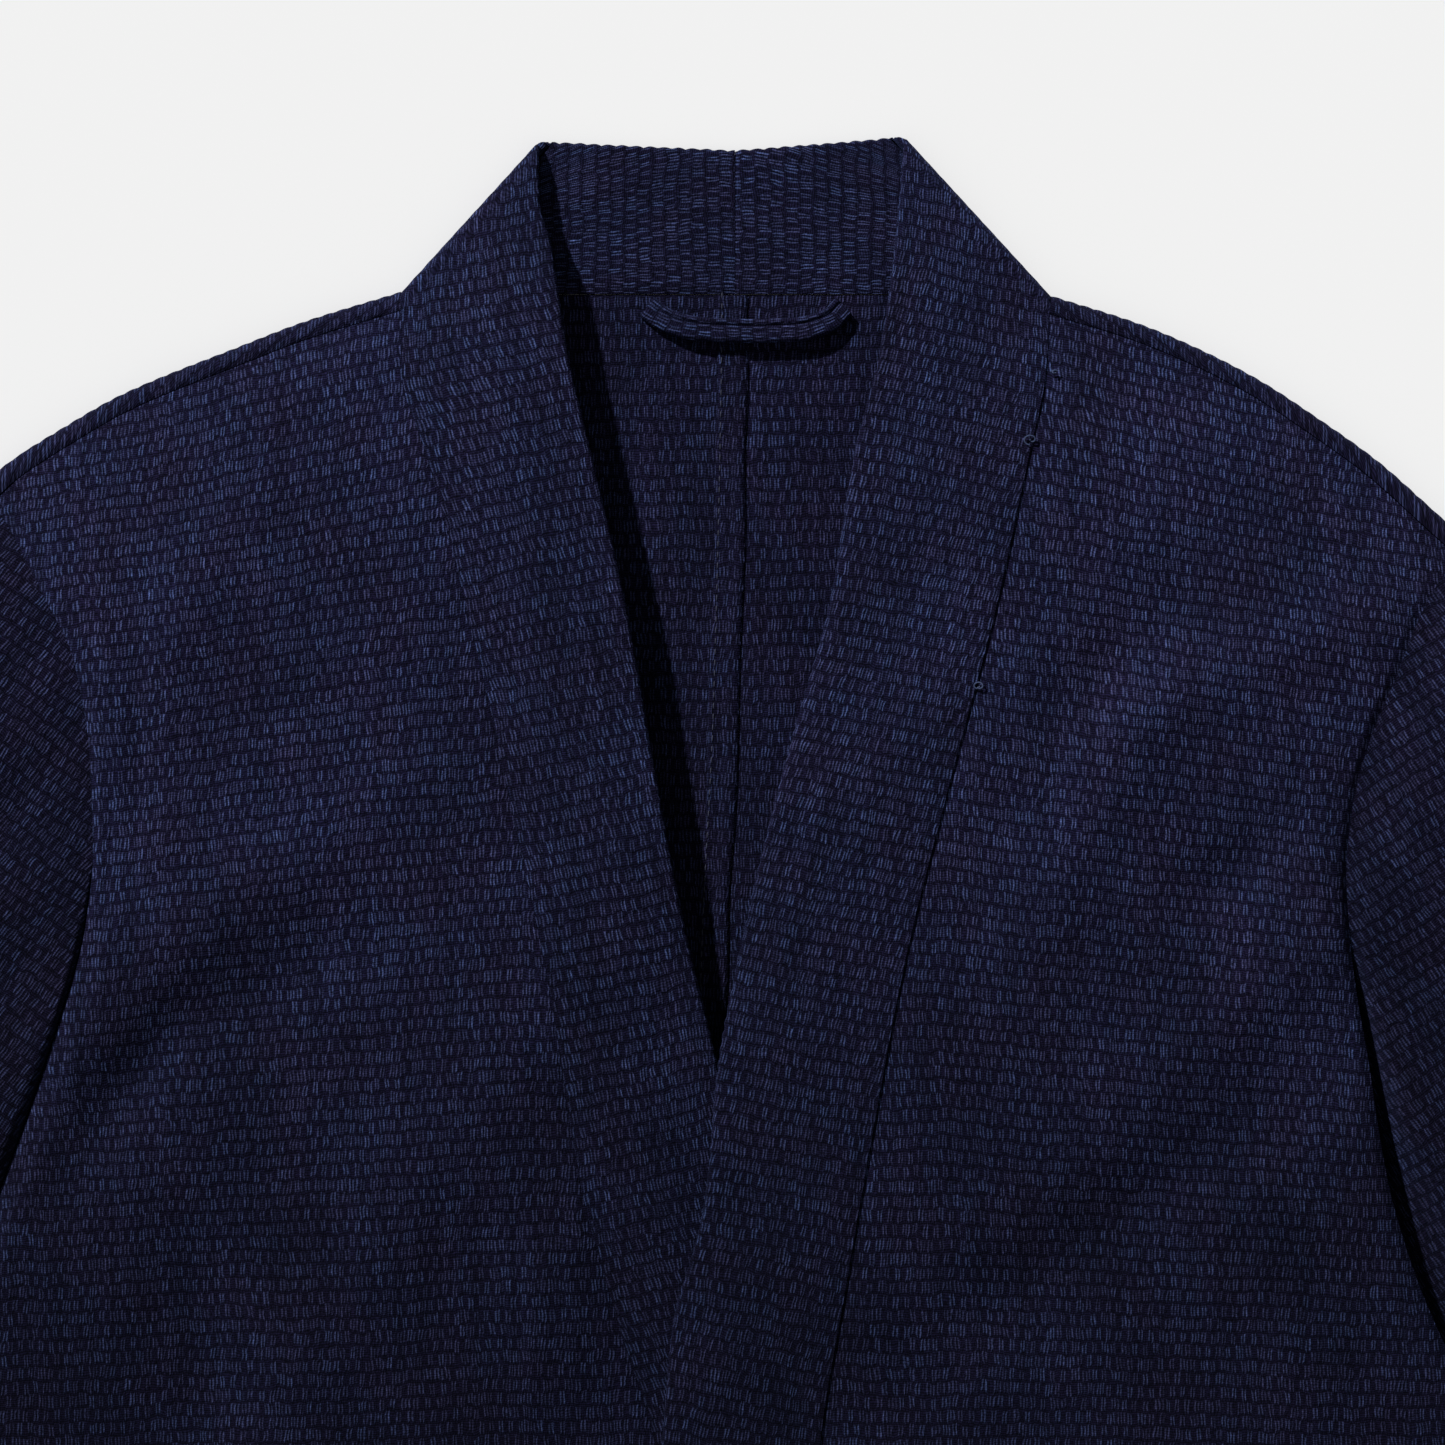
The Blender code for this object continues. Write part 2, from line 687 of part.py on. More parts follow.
def collar_sections(plan):
    """Pairs of (outer line, inner line) across the band, from centre back to hem."""
    centre = Vector((plan.way * HALF_GAP, 0.0))
    aside = Vector((-plan.way * HALF_GAP, 0.0))
    corner = Vector((plan.band_edge_x(plan.corner_y), plan.corner_y))
    shares = [k / BAND_COLUMNS for k in range(BAND_COLUMNS + 1)]
    top_end = plan.half.collar_top_rows[-1].x
    sections = []
    for k in range(BACK_COLLAR_STEPS):
        along = k / BACK_COLLAR_STEPS
        seam = neck_line(plan, along) + centre * (1 - along)
        x = mix(centre.x, top_end, along)
        edge = Vector((x, plan.collar_top_y(x)))
        line = [seam.lerp(edge, share) for share in shares]
        sections.append(
            ([with_height(p, 0.0) for p in line], [with_height(p, BAND_CLOTH) for p in line])
        )

    def fold_line(inset, lower):
        seam = plan.seam_point(inset) + aside
        if lower:
            edge = corner + Vector((-plan.way * inset, 0.0))
        else:
            edge = Vector((plan.band_edge_x(plan.corner_y - inset), plan.corner_y - inset))
        return [seam.lerp(edge, share) for share in shares]

    for k, (inset, height, inner_inset, inner_height) in enumerate(roll_points(BAND_CLOTH)):
        lower = k < ROLL_STEPS / 2
        outer = [with_height(p, height) for p in fold_line(inset, lower)]
        inner = [with_height(p, inner_height) for p in fold_line(inner_inset, lower)]
        sections.append((outer, inner))

    lead_start = plan.corner_y - plan.neck.y
    for station in plan.stations():
        seam = plan.seam_at(station)
        lead = lead_start * smooth_step(1 - (plan.front_start - seam.y) / BAND_LEAD_FADE)
        edge_y = max(seam.y + lead, -BODY_LENGTH)
        edge = Vector((plan.band_edge_x(edge_y), edge_y))
        seam_z = plan.front_height(seam, plan.front_start - seam.y, BODY_LENGTH)
        seam_z += plan.half.band_raise * smooth_step((plan.front_start - seam.y) / BAND_RAISE_FADE)
        edge_z = plan.band_edge_z(edge_y) - plan.under_lap(edge.x, edge.y)
        outer, inner = [], []
        for share in shares:
            point = (seam + aside).lerp(edge, share)
            crown = BAND_CROWN * math.sin(math.pi * share) * smooth_step(station / BAND_CROWN_START)
            z = mix(seam_z, edge_z, smooth_step(share)) + crown
            outer.append(with_height(point, z))
            inner.append(with_height(point, z - BAND_CLOTH))
        sections.append((outer, inner))
    return sections


def collar_band(plan, finish):
    """Half of the collar: folded double cloth from the centre back to the hem."""
    sections = collar_sections(plan)
    outer = [point for section in sections for point in section[0]]
    inner = [point for section in sections for point in section[1]]
    quads = grid_quads(len(sections), BAND_COLUMNS + 1)
    return cloth_solid(f"collar_{plan.half.name}", outer, inner, quads, finish)


def armhole_line(plan):
    """The sleeve's seam points down the armhole, and the front's height at each."""
    front = front_grid(plan)
    line = [(plan.armhole_point(step[0]), step[1]) for step in roll_points(CLOTH)[ROLL_STEPS // 2 :]]
    line += [(Vector(row[-1][:2]), row[-1].z) for row in front[: len(ARMHOLE_SHARES)]]
    points = []
    for k, (point, _) in enumerate(line):
        ahead = line[min(k + 1, len(line) - 1)][0] - line[max(k - 1, 0)][0]
        aside = Vector((ahead.y, -ahead.x)).normalized() * SEAM_GAP
        points.append(point + (aside if aside.x * plan.way > 0 else -aside))
    return points, [z for _, z in line]


def sleeve_shares(first, width):
    """Each station's share across a ring, with set distances beside both edges."""
    outer_insets = [(point - first[0]).length for point in first[:SLEEVE_OUTER_STATIONS]]
    inner_insets = [*SLEEVE_INNER_INSETS, 0.0]
    start, stop = outer_insets[-1] / width, 1 - inner_insets[0] / width
    middle = first[SLEEVE_OUTER_STATIONS - 1 : len(first) - len(inner_insets) + 1]
    spans = [(b - a).length for a, b in zip(middle, middle[1:])]
    shares = [inset / width for inset in outer_insets]
    shares += [mix(start, stop, sum(spans[: k + 1]) / sum(spans)) for k in range(len(spans) - 1)]
    return shares + [1 - inset / width for inset in inner_insets]


def sleeve_ring(points, tops, bottoms, edges, insets):
    """The outer and inner points of one ring, from its plan points and heights."""
    outer_top, outer_bottom, inner_top, inner_bottom = [], [], [], []
    last = len(points) - 1
    for k, point in enumerate(points):
        towards = points[k + 1] - point if k < last / 2 else points[k - 1] - point
        shift = CLOTH * (1 - quarter_sine(insets[k], SLEEVE_ROLL))
        inside = point + towards.normalized() * shift
        spread = SLEEVE_WEDGE * min(insets[k], SLEEVE_FLAT)
        outer_top.append(with_height(point, tops[k]))
        outer_bottom.append(with_height(point, bottoms[k]))
        inner_top.append(with_height(inside, max(tops[k] - CLOTH, edges[k] + spread)))
        inner_bottom.append(with_height(inside, min(bottoms[k] + CLOTH, edges[k] - spread)))
    return outer_top + outer_bottom[-2:0:-1], inner_top + inner_bottom[-2:0:-1]


def sleeve(plan, finish):
    """A sleeve: a flattened tube, open at the armhole's upper part and at the cuff.

    Down the armhole's lower part the sleeve's edge lies tucked along the body.
    """
    half = plan.half
    lean = math.radians(half.sleeve_lean)
    along = Vector((plan.way * math.sin(lean), -math.cos(lean)))
    across = Vector((-plan.way * math.cos(lean), -math.sin(lean)))
    line, line_tops = armhole_line(plan)
    tuck = SLEEVE_OUTER_STATIONS - 1 + TUCK_STATION
    first, first_tops = line[:tuck], line_tops[:tuck]
    for before in SLEEVE_INNER_INSETS:
        share = 1 - before / (line[tuck] - line[tuck - 1]).length
        first.append(line[tuck - 1].lerp(line[tuck], share))
        first_tops.append(mix(line_tops[tuck - 1], line_tops[tuck], share))
    first.append(line[tuck])
    first_tops.append(half.tuck_height)

    tip, under = line[0], line[-1]
    cuff_outer = tip + along * half.sleeve_reach
    cuff_inner = cuff_outer + across * half.cuff
    rings = list(zip(TUCK_RINGS, line[tuck:]))
    free = 1 - TUCK_RINGS[-1]
    rings += [(t, under.lerp(cuff_inner, (t - TUCK_RINGS[-1]) / free)) for t in FREE_RINGS]
    first_shares = sleeve_shares(first, (first[-1] - tip).length)
    aways = [point - tip.lerp(first[-1], share) for point, share in zip(first, first_shares)]
    outer_rings, inner_rings = [], []
    for t, end in rings:
        start = tip.lerp(cuff_outer, t)
        width = (end - start).length
        run = t * half.sleeve_reach
        pull = 1 - smooth_step(run / ARMHOLE_FADE)
        blend = smooth_step(run / SLEEVE_BLEND)
        tucked = 1 - smooth_step(t / TUCK_RINGS[-1])
        inner_edge = mix(FOLD_RADIUS, half.tuck_height, tucked)
        points, tops, bottoms, edges, insets = [], [], [], [], []
        for k, share in enumerate(sleeve_shares(first, width)):
            point = start.lerp(end, share) + aways[k] * pull
            inset = min(share, 1 - share) * width
            edge = FOLD_RADIUS if share < 0.5 else inner_edge
            reach = SLEEVE_ROLL if share < 0.5 else mix(SLEEVE_ROLL, TUCK_ROLL, tucked)
            relief = fold_relief(half.sleeve_folds, point.x, point.y)
            loose = mix(edge, SLEEVE_LOFT(t) + relief, quarter_sine(inset, reach))
            points.append(point)
            tops.append(mix(first_tops[k], loose, blend))
            bottoms.append(edge * (1 - quarter_sine(inset, SLEEVE_FLAT)))
            edges.append(edge)
            insets.append(inset)
        outer, inner = sleeve_ring(points, tops, bottoms, edges, insets)
        outer_rings.append(outer)
        inner_rings.append(inner)
    quads = grid_quads(len(outer_rings), len(outer_rings[0]), closed=True)
    return cloth_solid(
        f"sleeve_{half.name}", flat_list(outer_rings), flat_list(inner_rings), quads, finish
    )


def seam_fell(finish):
    """The centre back seam's allowance, folded flat and sewn down on the left back."""
    start_y, end_y = -2 * SEAM_GAP, -BODY_LENGTH
    lower, upper = [], []
    for k in range(FELL_STEPS + 1):
        y = mix(start_y, end_y, k / FELL_STEPS)
        for inset in (SEAM_GAP, FELL_WIDTH / 2, FELL_WIDTH):
            point = Vector((CENTRE_SEAM(y) - inset, y))
            lower.append(with_height(point, CLOTH + SEAM_GAP))
            upper.append(with_height(point, CLOTH + SEAM_GAP + FELL_CLOTH))
    return cloth_solid("back_seam_fell", lower, upper, grid_quads(FELL_STEPS + 1, 3), finish)


def hanger_loop(finish):
    """The folded strip under the collar's centre that the jacket hangs by."""
    place = curve([(k, row.x) for k, row in enumerate(LOOP_ROWS)])
    drop = curve([(k, row.y) for k, row in enumerate(LOOP_ROWS)])
    under = curve([(k, row.under) for k, row in enumerate(LOOP_ROWS)])
    steps = [mix(0.0, len(LOOP_ROWS) - 1, k / LOOP_STEPS) for k in range(LOOP_STEPS + 1)]
    middle = [Vector((place(step), drop(step))) for step in steps]
    lower, upper = [], []
    for k, step in enumerate(steps):
        ahead = middle[min(k + 1, LOOP_STEPS)] - middle[max(k - 1, 0)]
        aside = Vector((-ahead.y, ahead.x)).normalized() * LOOP_WIDTH / 2
        for share in (-1.0, 0.0, 1.0):
            point = middle[k] + aside * share
            point.y = min(point.y, -2 * SEAM_GAP)
            lower.append(with_height(point, under(step)))
            upper.append(with_height(point, under(step) + LOOP_CLOTH))
    return cloth_solid("hanger_loop", lower, upper, grid_quads(LOOP_STEPS + 1, 3), finish)


def place_on_base(pieces):
    """Moves the meshes so that zero is the middle of the base of the jacket's box."""
    points = [vertex.co for piece in pieces for vertex in piece.data.vertices]
    low = Vector([min(point[k] for point in points) for k in range(3)])
    high = Vector([max(point[k] for point in points) for k in range(3)])
    base = Vector(((low.x + high.x) / 2, (low.y + high.y) / 2, low.z))
    for piece in pieces:
        for vertex in piece.data.vertices:
            vertex.co -= base


def main():
    for old in list(bpy.data.objects):
        bpy.data.objects.remove(old)
    body_cloth = cloth_finish("indigo_body_cloth", (0.011, 0.014, 0.033), 0.9)
    band_cloth = cloth_finish("indigo_band_cloth", (0.012, 0.017, 0.040), 0.9)
    sleeve_cloth = cloth_finish("indigo_sleeve_cloth", (0.010, 0.012, 0.028), 0.9)
    pieces = [seam_fell(body_cloth), hanger_loop(band_cloth)]
    for half in (LEFT, RIGHT):
        plan = Plan(half)
        pieces.append(back_panel(plan, body_cloth))
        pieces.append(front_panel(plan, body_cloth))
        pieces.append(collar_band(plan, band_cloth))
        pieces.append(sleeve(plan, sleeve_cloth))
    place_on_base(pieces)


main()
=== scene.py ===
"""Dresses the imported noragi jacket: cloth shells, weave, seams, stitches, floor, light, camera.

Sizes are millimetres in the jacket's own draft, whose zero is the middle of the seam between
the back and the collar. X runs to the viewer's right, Y to the collar and Z up. A mesh is
moved to its place in the frame, and turned to metres, when it is made.
"""

import logging
import math
from collections import namedtuple
from dataclasses import dataclass
from enum import Enum
from typing import Callable, Dict, List, Sequence, Tuple

import bmesh
import bpy
import numpy as np
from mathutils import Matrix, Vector

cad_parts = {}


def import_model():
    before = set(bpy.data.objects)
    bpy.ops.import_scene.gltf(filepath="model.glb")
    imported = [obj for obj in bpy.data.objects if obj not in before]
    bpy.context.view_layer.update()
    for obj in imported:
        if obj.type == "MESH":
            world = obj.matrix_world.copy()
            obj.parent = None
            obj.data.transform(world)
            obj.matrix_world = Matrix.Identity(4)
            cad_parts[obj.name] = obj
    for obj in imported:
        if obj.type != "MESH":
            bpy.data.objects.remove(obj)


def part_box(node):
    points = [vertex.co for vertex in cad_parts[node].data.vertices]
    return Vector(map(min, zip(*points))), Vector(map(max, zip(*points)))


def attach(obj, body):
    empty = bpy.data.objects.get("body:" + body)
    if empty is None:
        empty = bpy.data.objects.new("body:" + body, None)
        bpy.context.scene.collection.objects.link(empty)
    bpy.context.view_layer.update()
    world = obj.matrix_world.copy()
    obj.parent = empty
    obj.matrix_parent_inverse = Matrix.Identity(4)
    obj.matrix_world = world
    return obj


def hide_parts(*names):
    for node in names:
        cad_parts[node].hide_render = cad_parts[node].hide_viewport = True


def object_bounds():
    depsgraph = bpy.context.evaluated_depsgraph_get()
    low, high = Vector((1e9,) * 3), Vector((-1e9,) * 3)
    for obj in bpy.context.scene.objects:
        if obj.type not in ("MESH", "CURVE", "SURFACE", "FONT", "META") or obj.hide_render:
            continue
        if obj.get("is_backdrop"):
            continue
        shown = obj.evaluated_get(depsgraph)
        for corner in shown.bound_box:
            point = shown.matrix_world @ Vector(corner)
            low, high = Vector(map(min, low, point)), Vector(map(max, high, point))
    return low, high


LOG = logging.getLogger("noragi")

MM = 0.001
PIXELS_PER_MM = 3.0
PHOTO_SIZE = 1445
PHOTO_ZERO = (735.0, 292.0)

CLOTH = 2.0
BAND_CLOTH = 3.2
SHELL = 1.5
SEAM_GAP = 0.3
HALF_GAP = 0.03
BODY_LENGTH = 720.0
HEM_HALF = 3.2
STITCH_RISE = 0.15
COLLAR_TOP = 52.3
FOLD_RADIUS = 4.5
FOLD_TOP = 2 * FOLD_RADIUS
SHOULDER_SEAM_INSET = 6.0
FRONT_CLEARANCE = CLOTH + SEAM_GAP
NECK_TURN = 0.75
NECK_SHARE = 0.4
SHOULDER_SLOPE = 70.0
UNDER_LAP_DIP = 4.6
UNDER_LAP_REACH = 50.0
UNDER_LAP_LEVEL = 5.0
UNDER_LAP_START = -170.0
UNDER_LAP_FADE = 80.0
BAND_CROWN = 0.7
BAND_CROWN_START = 0.125
BAND_LEAD_FADE = 110.0
BAND_RAISE_FADE = 30.0
FRONT_ROLL = 18.0
SLEEVE_ROLL = 14.0
TUCK_ROLL = 6.0
SLEEVE_FLAT = 5.0
SLEEVE_WEDGE = 0.25
SLEEVE_BLEND = 32.0
ARMHOLE_FADE = 170.0
FELL_WIDTH = 10.0
LOOP_WIDTH = 8.0
LOOP_CLOTH = 2.2

GRAIN = 3.53
ROW = 4.7

EdgeRow = namedtuple("EdgeRow", "y x")
TopRow = namedtuple("TopRow", "x y")
HeightRow = namedtuple("HeightRow", "y z")
LoopRow = namedtuple("LoopRow", "x y under")
FoldRow = namedtuple("FoldRow", "x y turn length width rise")
TuckRow = namedtuple("TuckRow", "ring share")
WaveRow = namedtuple("WaveRow", "turn wave phase rise")
ShadeRow = namedtuple("ShadeRow", "stretch scale detail start low high")

Curve = Callable[[np.ndarray], np.ndarray]
Colour = Tuple[float, float, float]
Faces = List[Tuple[int, ...]]


def chart(kind: Callable, *rows: Tuple) -> Tuple:
    """Makes a table's rows, each with the kind's column names."""
    return tuple(kind(*row) for row in rows)


class Side(Enum):
    """The halves of the jacket, as the viewer sees it, and the way that each lies."""

    LEFT = -1
    RIGHT = 1

    @property
    def label(self) -> str:
        """The side's name in the node names."""
        return self.name.lower()


class Lay(Enum):
    LAID = "laid"


def curve(rows: Sequence) -> Curve:
    """Makes a smooth function through (place, value) rows that never overshoots them.

    Args:
        rows: the places and their values, in any order.

    Returns:
        A function of an array of places.
    """
    table = sorted((row[0], row[1]) for row in rows)
    places = np.array([row[0] for row in table])
    values = np.array([row[1] for row in table])
    spans = np.diff(places)
    rates = np.diff(values) / spans
    slopes = np.zeros(len(places))
    slopes[0], slopes[-1] = rates[0], rates[-1]
    for k in range(1, len(places) - 1):
        before, after = rates[k - 1], rates[k]
        slopes[k] = 2 * before * after / (before + after) if before * after > 0 else 0.0

    def value(place: np.ndarray) -> np.ndarray:
        place = np.asarray(place, dtype=float)
        k = np.clip(np.searchsorted(places, place, side="right") - 1, 0, len(spans) - 1)
        t = np.clip((place - places[k]) / spans[k], 0.0, 1.0)
        ease = t * t * (3 - 2 * t)
        start = t * (1 - t) ** 2 * slopes[k] * spans[k]
        end = t * t * (t - 1) * slopes[k + 1] * spans[k]
        inside = values[k] * (1 - ease) + values[k + 1] * ease + start + end
        before = np.minimum(place - places[0], 0.0) * slopes[0]
        after = np.maximum(place - places[-1], 0.0) * slopes[-1]
        return inside + before + after

    return value


def mix(a: np.ndarray, b: np.ndarray, share: np.ndarray) -> np.ndarray:
    """Returns the value a share of the way from a to b."""
    return a + (b - a) * share


def smooth_step(share: np.ndarray) -> np.ndarray:
    """Returns an S-shaped rise from 0 to 1."""
    share = np.clip(share, 0.0, 1.0)
    return share * share * (3 - 2 * share)


def quarter_sine(distance: np.ndarray, reach: np.ndarray) -> np.ndarray:
    """Returns a rise from 0 at an edge to 1 at the reach, where it stays."""
    return np.sin(math.pi / 2 * np.clip(distance / reach, 0.0, 1.0))


def quarter_round(distance: np.ndarray, reach: np.ndarray) -> np.ndarray:
    """Returns a rise from 0 at an edge to 1 at the reach, round like a quarter circle."""
    rest = 1 - np.clip(distance / reach, 0.0, 1.0)
    return np.sqrt(1 - rest * rest)


def hump(distance: np.ndarray, middle: float, half: float) -> np.ndarray:
    """Returns a soft bump of height 1 that is a half width to each side of its middle."""
    return np.cos(math.pi / 2 * np.clip((distance - middle) / half, -1.0, 1.0)) ** 2


def point(x: np.ndarray, y: np.ndarray) -> np.ndarray:
    """Joins X and Y into an array of plan points."""
    return np.stack(np.broadcast_arrays(x, y), axis=-1).astype(float)


def with_height(plan: np.ndarray, z: np.ndarray) -> np.ndarray:
    """Adds heights to an array of plan points."""
    return np.concatenate([plan, np.broadcast_to(z, plan.shape[:-1])[..., None]], axis=-1)


def unit(vectors: np.ndarray) -> np.ndarray:
    """Returns vectors of length 1 that point the same way."""
    return vectors / np.linalg.norm(vectors, axis=-1, keepdims=True)


def along(line: np.ndarray) -> np.ndarray:
    """Returns the distance along a line of points, from its start."""
    steps = np.linalg.norm(np.diff(line, axis=0), axis=-1)
    return np.concatenate([[0.0], np.cumsum(steps)])


def grid_normals(grid: np.ndarray) -> np.ndarray:
    """Returns the unit normals of a grid of points, by its rows and columns."""
    across = np.gradient(grid, axis=1)
    down = np.gradient(grid, axis=0)
    normals = np.cross(across, down)
    return normals / np.maximum(np.linalg.norm(normals, axis=-1, keepdims=True), 1e-9)


def fold_relief(folds: Sequence, x: np.ndarray, y: np.ndarray) -> np.ndarray:
    """Adds up the soft ridges and troughs of a table at places of the plan.

    Args:
        folds: rows of a fold's middle, turn in degrees, length, width and rise.
        x: the places' X.
        y: the places' Y.

    Returns:
        The height that the folds add.
    """
    total = np.zeros_like(x)
    for fold in folds:
        turn = math.radians(fold.turn)
        lengthways = (x - fold.x) * math.cos(turn) + (y - fold.y) * math.sin(turn)
        sideways = (y - fold.y) * math.cos(turn) - (x - fold.x) * math.sin(turn)
        spread = (lengthways / fold.length) ** 2 + (sideways / fold.width) ** 2
        total = total + fold.rise * np.exp(-spread)
    return total


def cockle(x: np.ndarray, y: np.ndarray) -> np.ndarray:
    """Returns the small uneven waves that a soft thick weave lies in."""
    total = np.zeros_like(x)
    for row in COCKLE_ROWS:
        turn = math.radians(row.turn)
        way = x * math.cos(turn) + y * math.sin(turn)
        total = total + row.rise * np.sin(2 * math.pi * way / row.wave + row.phase)
    return total


COCKLE_ROWS = chart(
    WaveRow,
    (12.0, 47.0, 0.4, 0.16), (71.0, 38.0, 2.1, 0.15), (-38.0, 61.0, 4.4, 0.20),
    (104.0, 83.0, 1.3, 0.22), (-64.0, 27.0, 3.0, 0.08), (33.0, 23.0, 5.2, 0.07),
)


@dataclass(frozen=True)
class HalfPattern:
    """The plan curves, heights and folds of one half of the jacket."""

    side: Side
    shoulder_rows: Tuple
    armhole_rows: Tuple
    side_rows: Tuple
    band_seam_rows: Tuple
    band_edge_rows: Tuple
    band_edge_heights: Tuple
    collar_top_rows: Tuple
    armhole_heights: Tuple
    folds: Tuple
    sleeve_folds: Tuple
    sleeve_reach: float
    sleeve_lean: float
    cuff: float
    armhole_drop: float
    armhole_roll: float
    tuck_height: float
    tuck_valley: float
    tuck_hold: float
    band_raise: float


LEFT = HalfPattern(
    side=Side.LEFT,
    shoulder_rows=chart(
        TopRow,
        (-111.7, 0.3), (-145.0, -10.0), (-165.0, -17.7), (-205.0, -34.0), (-225.0, -45.3),
        (-245.0, -58.3), (-253.3, -66.0),
    ),
    armhole_rows=chart(
        EdgeRow,
        (-66.0, -253.3), (-74.3, -245.0), (-99.3, -231.7), (-122.7, -220.5), (-156.0, -215.0),
        (-186.0, -214.0), (-212.7, -216.7), (-242.7, -225.0), (-272.7, -235.0), (-299.3, -245.0),
        (-346.0, -263.3),
    ),
    side_rows=chart(
        EdgeRow,
        (-346.0, -263.3), (-450.0, -264.5), (-600.0, -268.0), (-BODY_LENGTH, -272.0),
    ),
    band_seam_rows=chart(
        EdgeRow,
        (0.3, -111.7), (-29.3, -110.7), (-52.7, -103.3), (-102.7, -90.0), (-169.3, -75.0),
        (-232.7, -61.7), (-296.0, -51.7), (-346.0, -38.3), (-384.3, -26.7), (-430.0, -20.0),
        (-500.0, -15.0), (-BODY_LENGTH, -10.0),
    ),
    band_edge_rows=chart(
        EdgeRow,
        (50.7, -65.7), (30.7, -65.2), (17.3, -61.7), (-22.7, -55.3), (-49.3, -49.0),
        (-102.7, -36.7), (-156.0, -27.3), (-209.3, -17.3), (-257.7, -5.7), (-350.0, 15.0),
        (-450.0, 32.0), (-500.0, 38.0), (-BODY_LENGTH, 46.0),
    ),
    band_edge_heights=chart(
        HeightRow,
        (50.7, FOLD_TOP), (30.0, 12.5), (5.0, 16.5), (-30.0, 18.0), (-170.0, 17.6), (-400.0, 16.0),
        (-BODY_LENGTH, 12.2),
    ),
    collar_top_rows=(TopRow(0.0, 48.0), TopRow(-45.0, 50.0), TopRow(-61.2, 50.8)),
    armhole_heights=chart(
        HeightRow,
        (-70.5, FOLD_TOP), (-85.0, 12.0), (-110.0, 14.0), (-160.0, 14.6), (-240.0, 14.0),
        (-300.0, 11.0), (-330.0, 7.8), (-346.0, 5.8), (-380.0, 3.8), (-BODY_LENGTH, 3.6),
    ),
    folds=chart(
        FoldRow,
        (-200.0, -150.0, 88.0, 60.0, 9.0, -1.6), (-188.0, -118.0, 70.0, 45.0, 14.0, 1.4),
        (-150.0, -228.0, 35.0, 50.0, 16.0, -1.8), (-165.0, -205.0, 38.0, 55.0, 15.0, 1.5),
        (-200.0, -262.0, 55.0, 40.0, 10.0, -2.0), (-120.0, -330.0, 62.0, 90.0, 22.0, 1.5),
        (-190.0, -420.0, 80.0, 120.0, 20.0, -1.6), (-110.0, -540.0, 84.0, 130.0, 24.0, 1.6),
        (-205.0, -600.0, 94.0, 90.0, 16.0, 1.3),
    ),
    sleeve_folds=chart(
        FoldRow,
        (-262.0, -190.0, 40.0, 55.0, 12.0, -2.4), (-285.0, -255.0, 30.0, 60.0, 13.0, -2.6),
        (-300.0, -330.0, 20.0, 50.0, 14.0, 1.8), (-390.0, -370.0, 50.0, 90.0, 18.0, -1.8),
        (-460.0, -480.0, 55.0, 80.0, 18.0, 1.6),
    ),
    sleeve_reach=550.0,
    sleeve_lean=37.0,
    cuff=124.0,
    armhole_drop=0.72,
    armhole_roll=14.0,
    tuck_height=9.5,
    tuck_valley=0.0,
    tuck_hold=0.0,
    band_raise=0.0,
)

